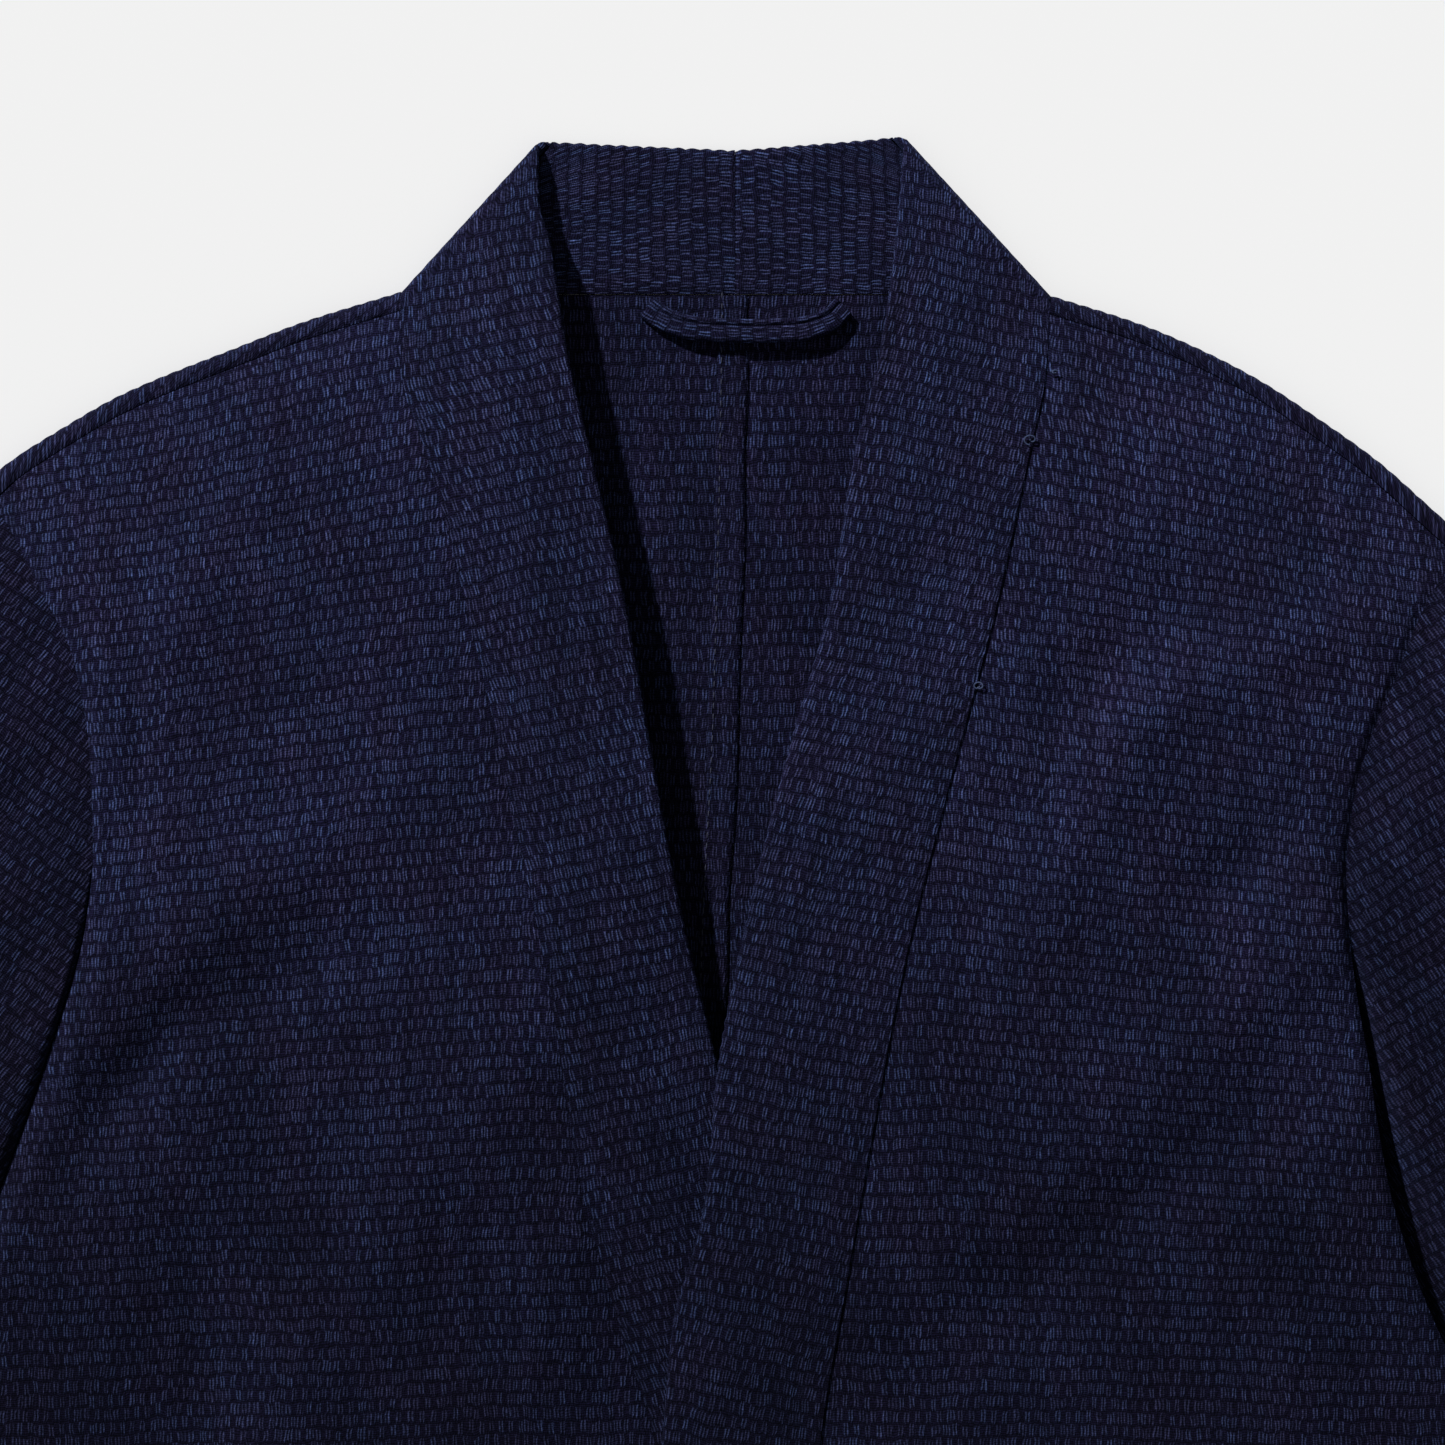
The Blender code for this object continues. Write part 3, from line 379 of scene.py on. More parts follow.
RIGHT = HalfPattern(
    side=Side.RIGHT,
    shoulder_rows=chart(
        TopRow,
        (105.7, -1.0), (135.0, -10.3), (155.0, -18.7), (175.0, -29.0), (195.0, -42.0),
        (215.0, -56.3), (235.0, -74.0), (246.7, -84.3),
    ),
    armhole_rows=chart(
        EdgeRow,
        (-84.3, 246.7), (-91.0, 239.0), (-106.0, 229.5), (-129.3, 220.0), (-149.3, 211.7),
        (-172.7, 205.7), (-196.0, 203.7), (-222.7, 205.7), (-256.0, 211.0), (-296.0, 217.5),
        (-322.7, 225.0), (-351.0, 236.7), (-375.0, 250.0),
    ),
    side_rows=chart(
        EdgeRow,
        (-375.0, 250.0), (-480.0, 255.5), (-600.0, 262.0), (-BODY_LENGTH, 267.0),
    ),
    band_seam_rows=chart(
        EdgeRow,
        (-1.0, 105.7), (-29.3, 103.3), (-52.7, 98.3), (-106.0, 86.7), (-162.7, 71.7),
        (-222.7, 56.7), (-279.3, 46.0), (-332.7, 36.7), (-384.3, 28.3), (-500.0, 20.0),
        (-BODY_LENGTH, 17.0),
    ),
    band_edge_rows=chart(
        EdgeRow,
        (COLLAR_TOP, 56.7), (10.7, 52.7), (-19.3, 48.3), (-52.7, 40.0), (-102.7, 31.7),
        (-142.7, 20.7), (-182.7, 10.0), (-222.7, 1.0), (-257.7, -5.7), (-302.7, -10.0),
        (-346.0, -21.0), (-384.0, -24.5), (-500.0, -36.0), (-BODY_LENGTH, -40.0),
    ),
    band_edge_heights=chart(
        HeightRow,
        (COLLAR_TOP, FOLD_TOP), (30.0, 12.5), (5.0, 16.5), (-30.0, 18.0), (-200.0, 18.0),
        (-400.0, 17.4), (-BODY_LENGTH, 13.4),
    ),
    collar_top_rows=(TopRow(0.0, 48.0), TopRow(35.0, 50.7), TopRow(52.2, 52.2)),
    armhole_heights=chart(
        HeightRow,
        (-88.8, FOLD_TOP), (-105.0, 12.5), (-130.0, 14.5), (-160.0, 14.6), (-190.0, 14.4),
        (-240.0, 14.6), (-320.0, 14.4), (-350.0, 13.0), (-375.0, 11.0), (-400.0, 8.0),
        (-430.0, 5.4), (-460.0, 3.6), (-BODY_LENGTH, 3.6),
    ),
    folds=chart(
        FoldRow,
        (128.0, -122.0, 50.0, 40.0, 13.0, -1.8), (180.0, -122.0, 24.0, 60.0, 13.0, 1.6),
        (122.0, -170.0, 66.0, 50.0, 14.0, 1.6), (172.0, -189.0, 40.0, 30.0, 12.0, -1.8),
        (178.0, -230.0, 40.0, 40.0, 13.0, 1.4), (128.0, -308.0, 36.0, 85.0, 16.0, -2.2),
        (150.0, -420.0, 62.0, 100.0, 20.0, 1.6), (205.0, -500.0, 84.0, 110.0, 16.0, -1.6),
        (100.0, -590.0, 82.0, 110.0, 22.0, 1.5),
    ),
    sleeve_folds=chart(
        FoldRow,
        (236.0, -200.0, 118.0, 45.0, 11.0, 1.6), (262.0, -262.0, 128.0, 60.0, 13.0, -2.4),
        (282.0, -340.0, 135.0, 55.0, 14.0, 1.8), (365.0, -380.0, 126.0, 90.0, 18.0, -1.8),
        (430.0, -500.0, 122.0, 80.0, 18.0, 1.6),
    ),
    sleeve_reach=545.0,
    sleeve_lean=34.0,
    cuff=124.0,
    armhole_drop=0.66,
    armhole_roll=8.0,
    tuck_height=4.2,
    tuck_valley=26.0,
    tuck_hold=1.0,
    band_raise=0.6,
)

LOFT = curve(
    chart(
        HeightRow,
        (0.0, 17.0), (-120.0, 18.0), (-300.0, 17.0), (-450.0, 15.0), (-BODY_LENGTH, 12.2),
    )
)
SLEEVE_LOFT = curve((HeightRow(0.0, 16.5), HeightRow(0.5, 16.0), HeightRow(1.0, 12.5)))
CENTRE_SEAM = curve(
    chart(
        EdgeRow,
        (0.0, 4.5), (-22.7, 4.3), (-136.0, 1.7), (-239.3, -2.7), (-BODY_LENGTH, -4.0),
    )
)
UPPER_BAND_EDGE = curve(RIGHT.band_edge_rows)
ROW_DROOP_START = 70.0
ROW_DROOP = curve(
    chart(
        EdgeRow,
        (0.0, 17.0), (-60.0, 13.0), (-150.0, 8.0), (-260.0, 4.5), (-400.0, 1.5),
        (-BODY_LENGTH, 0.0),
    )
)
BAND_LEAN = curve(chart(EdgeRow, (0.0, 12.0), (-360.0, 12.0), (-520.0, 2.5), (-BODY_LENGTH, 2.0)))
BAND_MAP_START = 140.0
BAND_ROW_SHIFT = 60.45
FOLD_DEPTH = 1.5
FELL_PROFILE = (
    (-1.0, 0.12), (-0.9, 0.42), (-0.7, 0.5), (0.0, 0.48), (0.3, 0.85), (0.55, 1.0), (0.8, 0.8),
    (1.0, 0.15),
)
LOOP_PROFILE = (
    (-1.0, 0.35), (-0.85, 0.85), (-0.4, 1.0), (0.3, 0.95), (0.45, 0.5), (0.6, 0.9), (0.88, 0.85),
    (1.0, 0.3),
)
VALLEY_FLOOR = 4.5
TUCK_ROWS = chart(
    TuckRow,
    (0.0, 0.48), (0.05, 0.59), (0.11, 0.7), (0.17, 0.8), (0.23, 0.9), (0.3, 1.0),
)
LOOP_ROWS = chart(
    LoopRow,
    (-29.5, -4.4, 2.4), (-24.0, -8.4, 3.2), (-13.0, -11.7, 4.6), (5.0, -12.6, 5.2),
    (21.0, -12.0, 5.2), (31.5, -8.8, 4.0), (36.6, -4.2, 2.6),
)


class Plan:
    """Places on one half of the jacket, worked out from its pattern."""

    def __init__(self, half: HalfPattern) -> None:
        """Makes the half's curves.

        Args:
            half: the tables of the half.
        """
        self.half = half
        self.way = half.side.value
        self.shoulder_y = curve(half.shoulder_rows)
        self.armhole_x = curve(half.armhole_rows)
        self.side_x = curve(half.side_rows)
        self.band_seam_x = curve(half.band_seam_rows)
        self.band_edge_x = curve(half.band_edge_rows)
        self.band_edge_z = curve(half.band_edge_heights)
        self.collar_top_y = curve(half.collar_top_rows)
        self.outer_z = curve(half.armhole_heights)
        self.neck = np.array(half.shoulder_rows[0], dtype=float)
        self.tip = np.array(half.shoulder_rows[-1], dtype=float)
        self.underarm_y = half.side_rows[0].y
        self.corner_y = half.band_edge_rows[0].y
        self.front_start = float(self.seam_point(SHOULDER_SEAM_INSET + SEAM_GAP)[1])
        self.outer_start = float(self.armhole_point(SHOULDER_SEAM_INSET + SEAM_GAP)[1])

    def outer_x(self, y: np.ndarray) -> np.ndarray:
        """Returns the outer edge's X: the armhole's, and the side seam's below it."""
        return np.where(y > self.underarm_y, self.armhole_x(y), self.side_x(y))

    def seam_point(self, inset: np.ndarray) -> np.ndarray:
        """Returns a point on the band's seam, an inset below the neck point."""
        y = self.neck[1] - np.asarray(inset)
        return point(self.band_seam_x(y), y)

    def armhole_point(self, inset: np.ndarray) -> np.ndarray:
        """Returns a point on the armhole, an inset along it from the shoulder's tip."""
        y = self.tip[1] - np.asarray(inset) * self.half.armhole_drop
        return point(self.armhole_x(y), y)

    def shoulder_point(self, share: np.ndarray, inset: float) -> np.ndarray:
        """Returns a point an inset inside the shoulder's outline, from neck to tip."""
        x = mix(self.neck[0], self.tip[0], share)
        at_neck = self.seam_point(inset) - self.neck
        at_tip = self.armhole_point(inset) - self.tip
        return point(x, self.shoulder_y(x)) + mix(at_neck, at_tip, np.asarray(share)[..., None])

    def seam_at(self, station: np.ndarray) -> np.ndarray:
        """Returns the band's seam at a share of the way down the front."""
        y = mix(self.front_start, -BODY_LENGTH, station)
        return point(self.band_seam_x(y), y)

    def outer_at(self, station: np.ndarray) -> np.ndarray:
        """Returns the outer edge at a share of the way down the front."""
        y = mix(self.outer_start, -BODY_LENGTH, station)
        return point(self.outer_x(y), y)

    def under_lap(self, x: np.ndarray, y: np.ndarray) -> np.ndarray:
        """Returns how far the left front dips to pass under the right one."""
        if self.half.side is Side.RIGHT:
            return np.zeros_like(x)
        start = UPPER_BAND_EDGE(y) - UNDER_LAP_REACH
        across = smooth_step((x - start) / (UNDER_LAP_REACH - UNDER_LAP_LEVEL))
        down = smooth_step((UNDER_LAP_START - y) / UNDER_LAP_FADE)
        return UNDER_LAP_DIP * across * down

    def front_height(self, plan: np.ndarray, below: np.ndarray, outer: np.ndarray) -> np.ndarray:
        """Works out the top of the front's cloth.

        Args:
            plan: the plan points.
            below: their distances below the shoulder's seam.
            outer: their distances from the outer edge.

        Returns:
            The heights.
        """
        x, y = plan[..., 0], plan[..., 1]
        rise = 1 - (1 - np.clip(below / SHOULDER_SLOPE, 0.0, 1.0)) ** 2
        relief = FOLD_DEPTH * fold_relief(self.half.folds, x, y) * rise
        inner = mix(FOLD_TOP, LOFT(y), rise) + relief - self.under_lap(x, y)
        reach = np.where(y > self.underarm_y, self.half.armhole_roll, FRONT_ROLL)
        return mix(self.outer_z(y), inner, quarter_sine(outer, reach))


def coons(
    top: Callable, bottom: Callable, inner: Callable, outer: Callable, across: np.ndarray, down: np.ndarray
) -> np.ndarray:
    """Fills four boundary curves that meet at their corners.

    Args:
        top: the upper curve, from the inner to the outer side.
        bottom: the lower curve.
        inner: the inner curve, from the top down.
        outer: the outer curve.
        across: an array of (rows, columns) shares across.
        down: an array of (rows, 1) shares down.

    Returns:
        An array of (rows, columns, 2) plan points.
    """
    across3, down3 = across[..., None], down[..., None]
    zero, one = np.zeros(1), np.ones(1)
    corner = mix(mix(top(zero), top(one), across3), mix(bottom(zero), bottom(one), across3), down3)
    lengthways = mix(top(across), bottom(across), down3)
    return lengthways + mix(inner(down), outer(down), across3) - corner


def front_shares(width: np.ndarray, columns: int, turns: int) -> np.ndarray:
    """Spaces the columns from the band's seam, closer over the rolled outer edge.

    Args:
        width: the front's width at each row.
        columns: how many columns lie before the roll.
        turns: how many lie on it.

    Returns:
        An array of (rows, columns) shares.
    """
    reach = FRONT_ROLL / width[:, None]
    flat = (1 - reach) * np.linspace(0.0, 1.0, columns + 1)[None, :]
    turn = 1 - np.cos(math.pi / 2 * np.arange(turns) / turns)
    return np.concatenate([flat, 1 - reach * turn[None, ::-1]], axis=1)


def add_object(name: str, content: object) -> bpy.types.Object:
    """Makes an object of a mesh, curve, light or camera, and links it to the scene."""
    made = bpy.data.objects.new(name, content)
    bpy.context.scene.collection.objects.link(made)
    return made


def new_finish(name: str, roughness: float) -> Tuple[bpy.types.Material, "NodeNet", bpy.types.Node]:
    """Makes a material.

    Args:
        name: its name.
        roughness: its roughness.

    Returns:
        The material, its nodes and its shader.
    """
    finish = bpy.data.materials.new(name)
    finish.use_nodes = True
    net = NodeNet(finish.node_tree)
    shader = net.tree.nodes["Principled BSDF"]
    shader.inputs["Roughness"].default_value = roughness
    return finish, net, shader


FIBRE = ShadeRow((8.0, 4.0, 1.0), 1.0, 2.0, 0.25, 0.1, 1.9)
FLUFF = ShadeRow((3.3, 2.1, 1.0), 1.0, 1.0, 0.3, 0.72, 1.28)
STREAK = ShadeRow((1.4, 0.05, 1.0), 1.0, 1.0, 0.3, 0.8, 1.2)
CLOUD = ShadeRow((1.0, 1.0, 1.0), 0.07, 3.0, 0.3, 0.78, 1.22)


@dataclass(frozen=True)
class WeaveFinish:
    """Rice-grain dobby cloth: bright warp floats in bricks on a dark ribbed ground."""

    name: str
    ground: Colour
    warp: Colour
    bright: Colour
    map_name: str = "cloth_map"
    roughness: float = 0.92
    specular: float = 0.04
    sheen: float = 0.05
    sheen_roughness: float = 0.5
    sheen_tint: Colour = (0.22, 0.32, 0.85)
    float_places: Tuple[float, float, float] = (0.14, 0.44, 0.74)
    float_half: float = 0.125
    float_luck: Tuple[float, float, float] = (0.6, 0.45, -1.3)
    stagger: float = 0.2
    weft_lines: float = 6.0
    relief: float = 0.52
    drift: float = 1.1
    wander: float = 0.42
    row_wander: float = 0.30
    # Painted shade: the cloth's colour darkens towards the hem, by its place in Y, standing in for the
    # light's fall-off.
    painted_falloff_from: float = -0.06
    painted_falloff_to: float = 0.26
    painted_falloff: Tuple[float, float] = (0.48, 1.02)
    vivid: float = 0.55
    ragged: float = 0.62
    cover: float = 0.75
    rib_contrast: float = 1.25
    # Painted shade: how much the colour darkens in the valleys between the weave's rows.
    row_painted_shade: float = 0.30
    warp_rise: float = 0.6
    weft_rise: float = 0.12
    row_dip: float = 0.2
    fibre_rise: float = 0.2
    warm: Colour = (1.16, 0.97, 0.95)

    def build(self) -> bpy.types.Material:
        """Makes the finish.

        Returns:
            The material.
        """
        finish, net, shader = new_finish(self.name, self.roughness)
        shader.inputs["Specular IOR Level"].default_value = self.specular
        shader.inputs["Sheen Weight"].default_value = self.sheen
        shader.inputs["Sheen Roughness"].default_value = self.sheen_roughness
        shader.inputs["Sheen Tint"].default_value = (*self.sheen_tint, 1.0)

        spot = self.wandered(net)
        split = net.node("ShaderNodeSeparateXYZ")
        net.link(spot, split.inputs[0])
        half_column = net.math("FLOOR", net.math("MULTIPLY", split.outputs["X"], 2.0))
        step = net.random(half_column, "1D").outputs["Value"]
        step = net.math("MULTIPLY", net.math("SUBTRACT", step, 0.5), self.stagger)
        down = net.math("ADD", split.outputs["Y"], step)
        row = net.math("FLOOR", down)
        in_row = net.math("FRACT", down)
        brick = net.math("MULTIPLY", net.math("FLOORED_MODULO", row, 2.0), 0.5)
        across = net.math("ADD", split.outputs["X"], brick)
        column = net.math("FLOOR", across)
        in_grain = net.math("FRACT", across)
        cell = net.node("ShaderNodeCombineXYZ")
        net.link(column, cell.inputs[0])
        net.link(row, cell.inputs[1])
        dice = net.node("ShaderNodeSeparateColor")
        net.link(net.random(cell.outputs[0], "2D").outputs["Color"], dice.inputs[0])

        from_middle = net.math("ABSOLUTE", net.math("SUBTRACT", in_row, 0.5))
        ragged = net.noise(net.vector("MULTIPLY", spot, (7.0, 1.1, 1.0)), 1.0, detail=1.0).outputs[0]
        ragged = net.math("MULTIPLY", net.math("SUBTRACT", ragged, 0.5), self.ragged)
        from_middle = net.math("ADD", from_middle, ragged)
        window = net.ramp(from_middle, 0.48, 0.27)
        valley = net.ramp(from_middle, 0.32, 0.53)
        broken = net.ramp(net.noise(spot, 0.9, detail=1.0).outputs[0], 0.35, 0.6, low=0.25, high=1.0)
        valley = net.math("MULTIPLY", valley, broken)
        fibre, fluff, streak, cloud = (net.uneven(spot, row) for row in (FIBRE, FLUFF, STREAK, CLOUD))
        floats = []
        for place, luck, low in zip(self.float_places, dice.outputs, self.float_luck):
            reach = net.math("ABSOLUTE", net.math("SUBTRACT", in_grain, place))
            strand = net.ramp(reach, self.float_half, self.float_half * 0.2)
            strength = net.ramp(luck, 0.0, 1.0, low=low, high=1.0, smooth=False)
            floats.append(net.math("MULTIPLY", strand, net.math("MAXIMUM", strength, 0.0)))
        warp = net.math("MAXIMUM", net.math("MAXIMUM", floats[0], floats[1]), floats[2])
        warp = net.math("MULTIPLY", warp, window)
        angle = net.math("MULTIPLY", in_row, 2 * math.pi * self.weft_lines)
        weft = net.scaled(net.math("SINE", angle), 0.5, 0.5)

        # Painted shade: darker towards the hem, by the object's Y, standing in for the light's fall-off.
        place = net.node("ShaderNodeTexCoord").outputs["Object"]
        height = net.node("ShaderNodeSeparateXYZ")
        net.link(place, height.inputs[0])
        painted_falloff = net.ramp(height.outputs["Y"], self.painted_falloff_from, self.painted_falloff_to, *self.painted_falloff)

        vivid = net.math("MULTIPLY", net.ramp(dice.outputs[1], 0.3, 1.0), self.vivid)
        thread = net.blend(self.warp, self.bright, vivid)
        base = net.blend(self.ground, thread, warp)
        uncovered = net.scaled(warp, -self.cover, 1.0)
        ribs = net.math("MULTIPLY", net.math("SUBTRACT", weft, 0.5), uncovered)
        # Painted shade: the colour darkens in the valleys between the rows, where shadow falls.
        valley_painted_shade = net.scaled(valley, -self.row_painted_shade, 1.0)
        shade = net.math("MULTIPLY", net.scaled(ribs, self.rib_contrast, 1.0), valley_painted_shade)
        for part in (streak, cloud, fluff, fibre, painted_falloff):
            shade = net.math("MULTIPLY", shade, part)
        patch = net.ramp(net.noise(spot, 0.16, detail=2.0).outputs[0], 0.38, 0.68)
        base = net.vector("MULTIPLY", base, net.blend((1.0, 1.0, 1.0), self.warm, patch))
        net.link(net.vector("SCALE", base, scale_from=shade), shader.inputs["Base Color"])

        height = net.math("MULTIPLY", warp, self.warp_rise)
        for part, weight in ((weft, self.weft_rise), (valley, -self.row_dip), (fibre, self.fibre_rise)):
            height = net.math("ADD", height, net.math("MULTIPLY", part, weight))
        bump = net.node("ShaderNodeBump")
        bump.inputs["Strength"].default_value = 1.0
        bump.inputs["Distance"].default_value = self.relief * MM
        net.link(height, bump.inputs["Height"])
        net.link(bump.outputs[0], shader.inputs["Normal"])
        return finish

    def wandered(self, net: "NodeNet") -> bpy.types.NodeSocket:
        """Shifts the cloth's places a little, so that no row or thread runs dead straight.

        Args:
            net: the finish's nodes.

        Returns:
            The shifted places.
        """
        spot = net.node("ShaderNodeUVMap", uv_map=self.map_name).outputs["UV"]
        middle = (0.5, 0.5, 0.5)
        shifts = (
            (0.05, 1.0, (self.drift * 2, self.drift, 0.0)),
            (0.35, 0.0, (self.wander, self.row_wander, 0.0)),
            (1.1, 0.0, (self.wander * 0.5, self.row_wander, 0.0)),
        )
        for scale, detail, reach in shifts:
            noise = net.noise(spot, scale, detail=detail)
            shift = net.vector("SUBTRACT", noise.outputs["Color"], middle)
            spot = net.vector("ADD", spot, net.vector("MULTIPLY", shift, reach))
        return spot


@dataclass(frozen=True)
class ThreadFinish:
    """Twisted sewing thread, dark and a little glossy."""

    name: str = "sewing_thread"
    colour: Colour = (0.010, 0.013, 0.036)
    roughness: float = 0.7
    twist: float = 2600.0

    def build(self) -> bpy.types.Material:
        """Makes the finish.

        Returns:
            The material.
        """
        finish, net, shader = new_finish(self.name, self.roughness)
        place = net.node("ShaderNodeTexCoord").outputs["Object"]
        twist = net.noise(place, self.twist, detail=1.0).outputs[0]
        shade = net.ramp(twist, 0.3, 0.7, low=0.6, high=1.4, smooth=False)
        base = net.node("ShaderNodeRGB")
        base.outputs[0].default_value = (*self.colour, 1.0)
        net.link(net.vector("SCALE", base.outputs[0], scale_from=shade), shader.inputs["Base Color"])
        return finish


@dataclass(frozen=True)
class FloorFinish:
    """The plain pale floor."""

    name: str = "pale_floor"
    colour: Colour = (0.80, 0.80, 0.80)
    roughness: float = 0.95

    def build(self) -> bpy.types.Material:
        """Makes the finish.

        Returns:
            The material.
        """
        finish, _, shader = new_finish(self.name, self.roughness)
        shader.inputs["Base Color"].default_value = (*self.colour, 1.0)
        shader.inputs["Specular IOR Level"].default_value = 0.0
        return finish


class NodeNet:
    """Short ways to add and link the nodes of one tree."""

    def __init__(self, tree: bpy.types.NodeTree) -> None:
        """Keeps the tree.

        Args:
            tree: the tree that gets the nodes.
        """
        self.tree = tree

    def node(self, kind: str, **settings: object) -> bpy.types.Node:
        """Adds a node of a kind, with its settings."""
        made = self.tree.nodes.new(kind)
        for name, value in settings.items():
            setattr(made, name, value)
        return made

    def link(self, source: bpy.types.NodeSocket, target: bpy.types.NodeSocket) -> None:
        """Links two sockets."""
        self.tree.links.new(source, target)

    def math(self, operation: str, a: object, b: object = None) -> bpy.types.NodeSocket:
        """Adds a Math node and returns its result.

        Args:
            operation: the node's operation.
            a: a socket or a number.
            b: a second socket or number, where it has one.

        Returns:
            The node's output.
        """
        made = self.node("ShaderNodeMath", operation=operation)
        for slot, value in enumerate((a, b)):
            if isinstance(value, bpy.types.NodeSocket):
                self.link(value, made.inputs[slot])
            elif value is not None:
                made.inputs[slot].default_value = value
        return made.outputs[0]

    def scaled(self, value: bpy.types.NodeSocket, factor: float, offset: float) -> bpy.types.NodeSocket:
        """Multiplies a value by a factor and adds an offset."""
        made = self.math("MULTIPLY_ADD", value, factor)
        made.node.inputs[2].default_value = offset
        return made

    def random(self, place: bpy.types.NodeSocket, dimensions: str) -> bpy.types.Node:
        """Adds white noise at a place, a number in 1D and a vector in 2D, and returns the node."""
        made = self.node("ShaderNodeTexWhiteNoise", noise_dimensions=dimensions)
        self.link(place, made.inputs["W" if dimensions == "1D" else "Vector"])
        return made

    def vector(
        self,
        operation: str,
        a: bpy.types.NodeSocket,
        b: object = None,
        scale: float = 1.0,
        scale_from: object = None,
    ) -> bpy.types.NodeSocket:
        """Adds a Vector Math node and returns its result.

        Args:
            operation: the node's operation.
            a: the first vector.
            b: the second one, a socket or three numbers.
            scale: the factor of SCALE.
            scale_from: a socket that gives that factor instead.

        Returns:
            The node's output.
        """
        made = self.node("ShaderNodeVectorMath", operation=operation)
        self.link(a, made.inputs[0])
        if isinstance(b, bpy.types.NodeSocket):
            self.link(b, made.inputs[1])
        elif b is not None:
            made.inputs[1].default_value = b
        made.inputs[3].default_value = scale
        if scale_from is not None:
            self.link(scale_from, made.inputs[3])
        return made.outputs[0]

    def ramp(
        self,
        value: bpy.types.NodeSocket,
        start: float,
        end: float,
        low: float = 0.0,
        high: float = 1.0,
        smooth: bool = True,
    ) -> bpy.types.NodeSocket:
        """Maps a range of a value to another range, and holds it there.

        Args:
            value: the value.
            start: where the range starts.
            end: where it ends.
            low: the result at the start.
            high: the result at the end.
            smooth: whether the change is S-shaped.

        Returns:
            The node's output.
        """
        kind = "SMOOTHSTEP" if smooth else "LINEAR"
        made = self.node("ShaderNodeMapRange", interpolation_type=kind)
        self.link(value, made.inputs["Value"])
        if start > end:
            start, end, low, high = end, start, high, low
        made.inputs["From Min"].default_value = start
        made.inputs["From Max"].default_value = end
        made.inputs["To Min"].default_value = low
        made.inputs["To Max"].default_value = high
        return made.outputs[0]

    def noise(self, place: bpy.types.NodeSocket, scale: float, detail: float) -> bpy.types.Node:
        """Adds a noise texture at a place and returns the node."""
        made = self.node("ShaderNodeTexNoise")
        made.inputs["Scale"].default_value = scale
        made.inputs["Detail"].default_value = detail
        self.link(place, made.inputs["Vector"])
        return made

    def uneven(self, place: bpy.types.NodeSocket, row: ShadeRow) -> bpy.types.NodeSocket:
        """Adds noise at stretched places and returns it as a shade between the row's low and high."""
        spot = self.vector("MULTIPLY", place, row.stretch)
        value = self.noise(spot, row.scale, detail=row.detail).outputs[0]
        return self.ramp(value, row.start, 1 - row.start, low=row.low, high=row.high, smooth=False)

    def blend(self, a: object, b: object, share: bpy.types.NodeSocket) -> bpy.types.NodeSocket:
        """Mixes two colours, each a socket or three numbers, by a share."""
        made = self.node("ShaderNodeMix", data_type="RGBA")
        self.link(share, made.inputs[0])
        for slot, value in ((6, a), (7, b)):
            if isinstance(value, bpy.types.NodeSocket):
                self.link(value, made.inputs[slot])
            else:
                made.inputs[slot].default_value = (*value, 1.0)
        return made.outputs[2]


@dataclass(frozen=True)
class Workroom:
    """The frame's facts that every piece is made with."""

    shift: Tuple[float, float, float]
    finishes: Dict[str, bpy.types.Material]

    def piece(
        self,
        name: str,
        points: np.ndarray,
        faces: Faces,
        cloth: np.ndarray,
        finish: str,
    ) -> bpy.types.Object:
        """Makes one piece of cloth.

        Args:
            name: the piece's name.
            points: (count, 3) points in the draft's millimetres.
            faces: the faces' point numbers.
            cloth: (count, 2) places on the cloth, in grains and rows.
            finish: the finish's name.

        Returns:
            The object, at the origin.
        """
        mesh = bpy.data.meshes.new(name)
        placed = (points + np.array(self.shift)) * MM
        mesh.from_pydata(placed.tolist(), [], faces)
        mesh.update()
        loops = np.zeros(len(mesh.loops), dtype=np.int32)
        mesh.loops.foreach_get("vertex_index", loops)
        layer = mesh.uv_layers.new(name="cloth_map")
        layer.data.foreach_set("uv", cloth[loops].astype(np.float32).ravel())
        shape = bmesh.new()
        shape.from_mesh(mesh)
        bmesh.ops.recalc_face_normals(shape, faces=shape.faces[:])
        shape.to_mesh(mesh)
        shape.free()
        mesh.shade_smooth()
        mesh.set_sharp_from_angle(angle=math.radians(60.0))
        mesh.materials.append(self.finishes[finish])
        return add_object(name, mesh)


def grid_quads(rows: int, columns: int, closed: bool = False) -> Faces:
    """Lists the quads of a grid whose points are numbered row by row.

    Args:
        rows: the number of rows.
        columns: the number of columns.
        closed: whether the last column joins the first.

    Returns:
        The quads.
    """
    wrap = columns if closed else columns - 1
    i, j = np.meshgrid(np.arange(rows - 1), np.arange(wrap), indexing="ij")
    k = (j + 1) % columns
    quads = np.stack([i * columns + j, i * columns + k, (i + 1) * columns + k, (i + 1) * columns + j], -1)
    return [tuple(quad) for quad in quads.reshape(-1, 4).tolist()]


def sheet_shell(outer: np.ndarray, inner: np.ndarray) -> Tuple[np.ndarray, Faces]:
    """Joins two faces of a sheet with a rim.

    Args:
        outer: (rows, columns, 3) points of the outer face.
        inner: the same of the inner face.

    Returns:
        The points and the faces.
    """
    rows, columns = outer.shape[:2]
    count = rows * columns
    faces = grid_quads(rows, columns)
    faces += [tuple(k + count for k in reversed(quad)) for quad in grid_quads(rows, columns)]
    top = list(range(columns))
    right = [i * columns + columns - 1 for i in range(1, rows)]
    bottom = [(rows - 1) * columns + j for j in range(columns - 2, -1, -1)]
    left = [i * columns for i in range(rows - 2, 0, -1)]
    ring = top + right + bottom + left
    for a, b in zip(ring, ring[1:] + ring[:1]):
        faces.append((b, a, a + count, b + count))
    return np.concatenate([outer.reshape(-1, 3), inner.reshape(-1, 3)]), faces


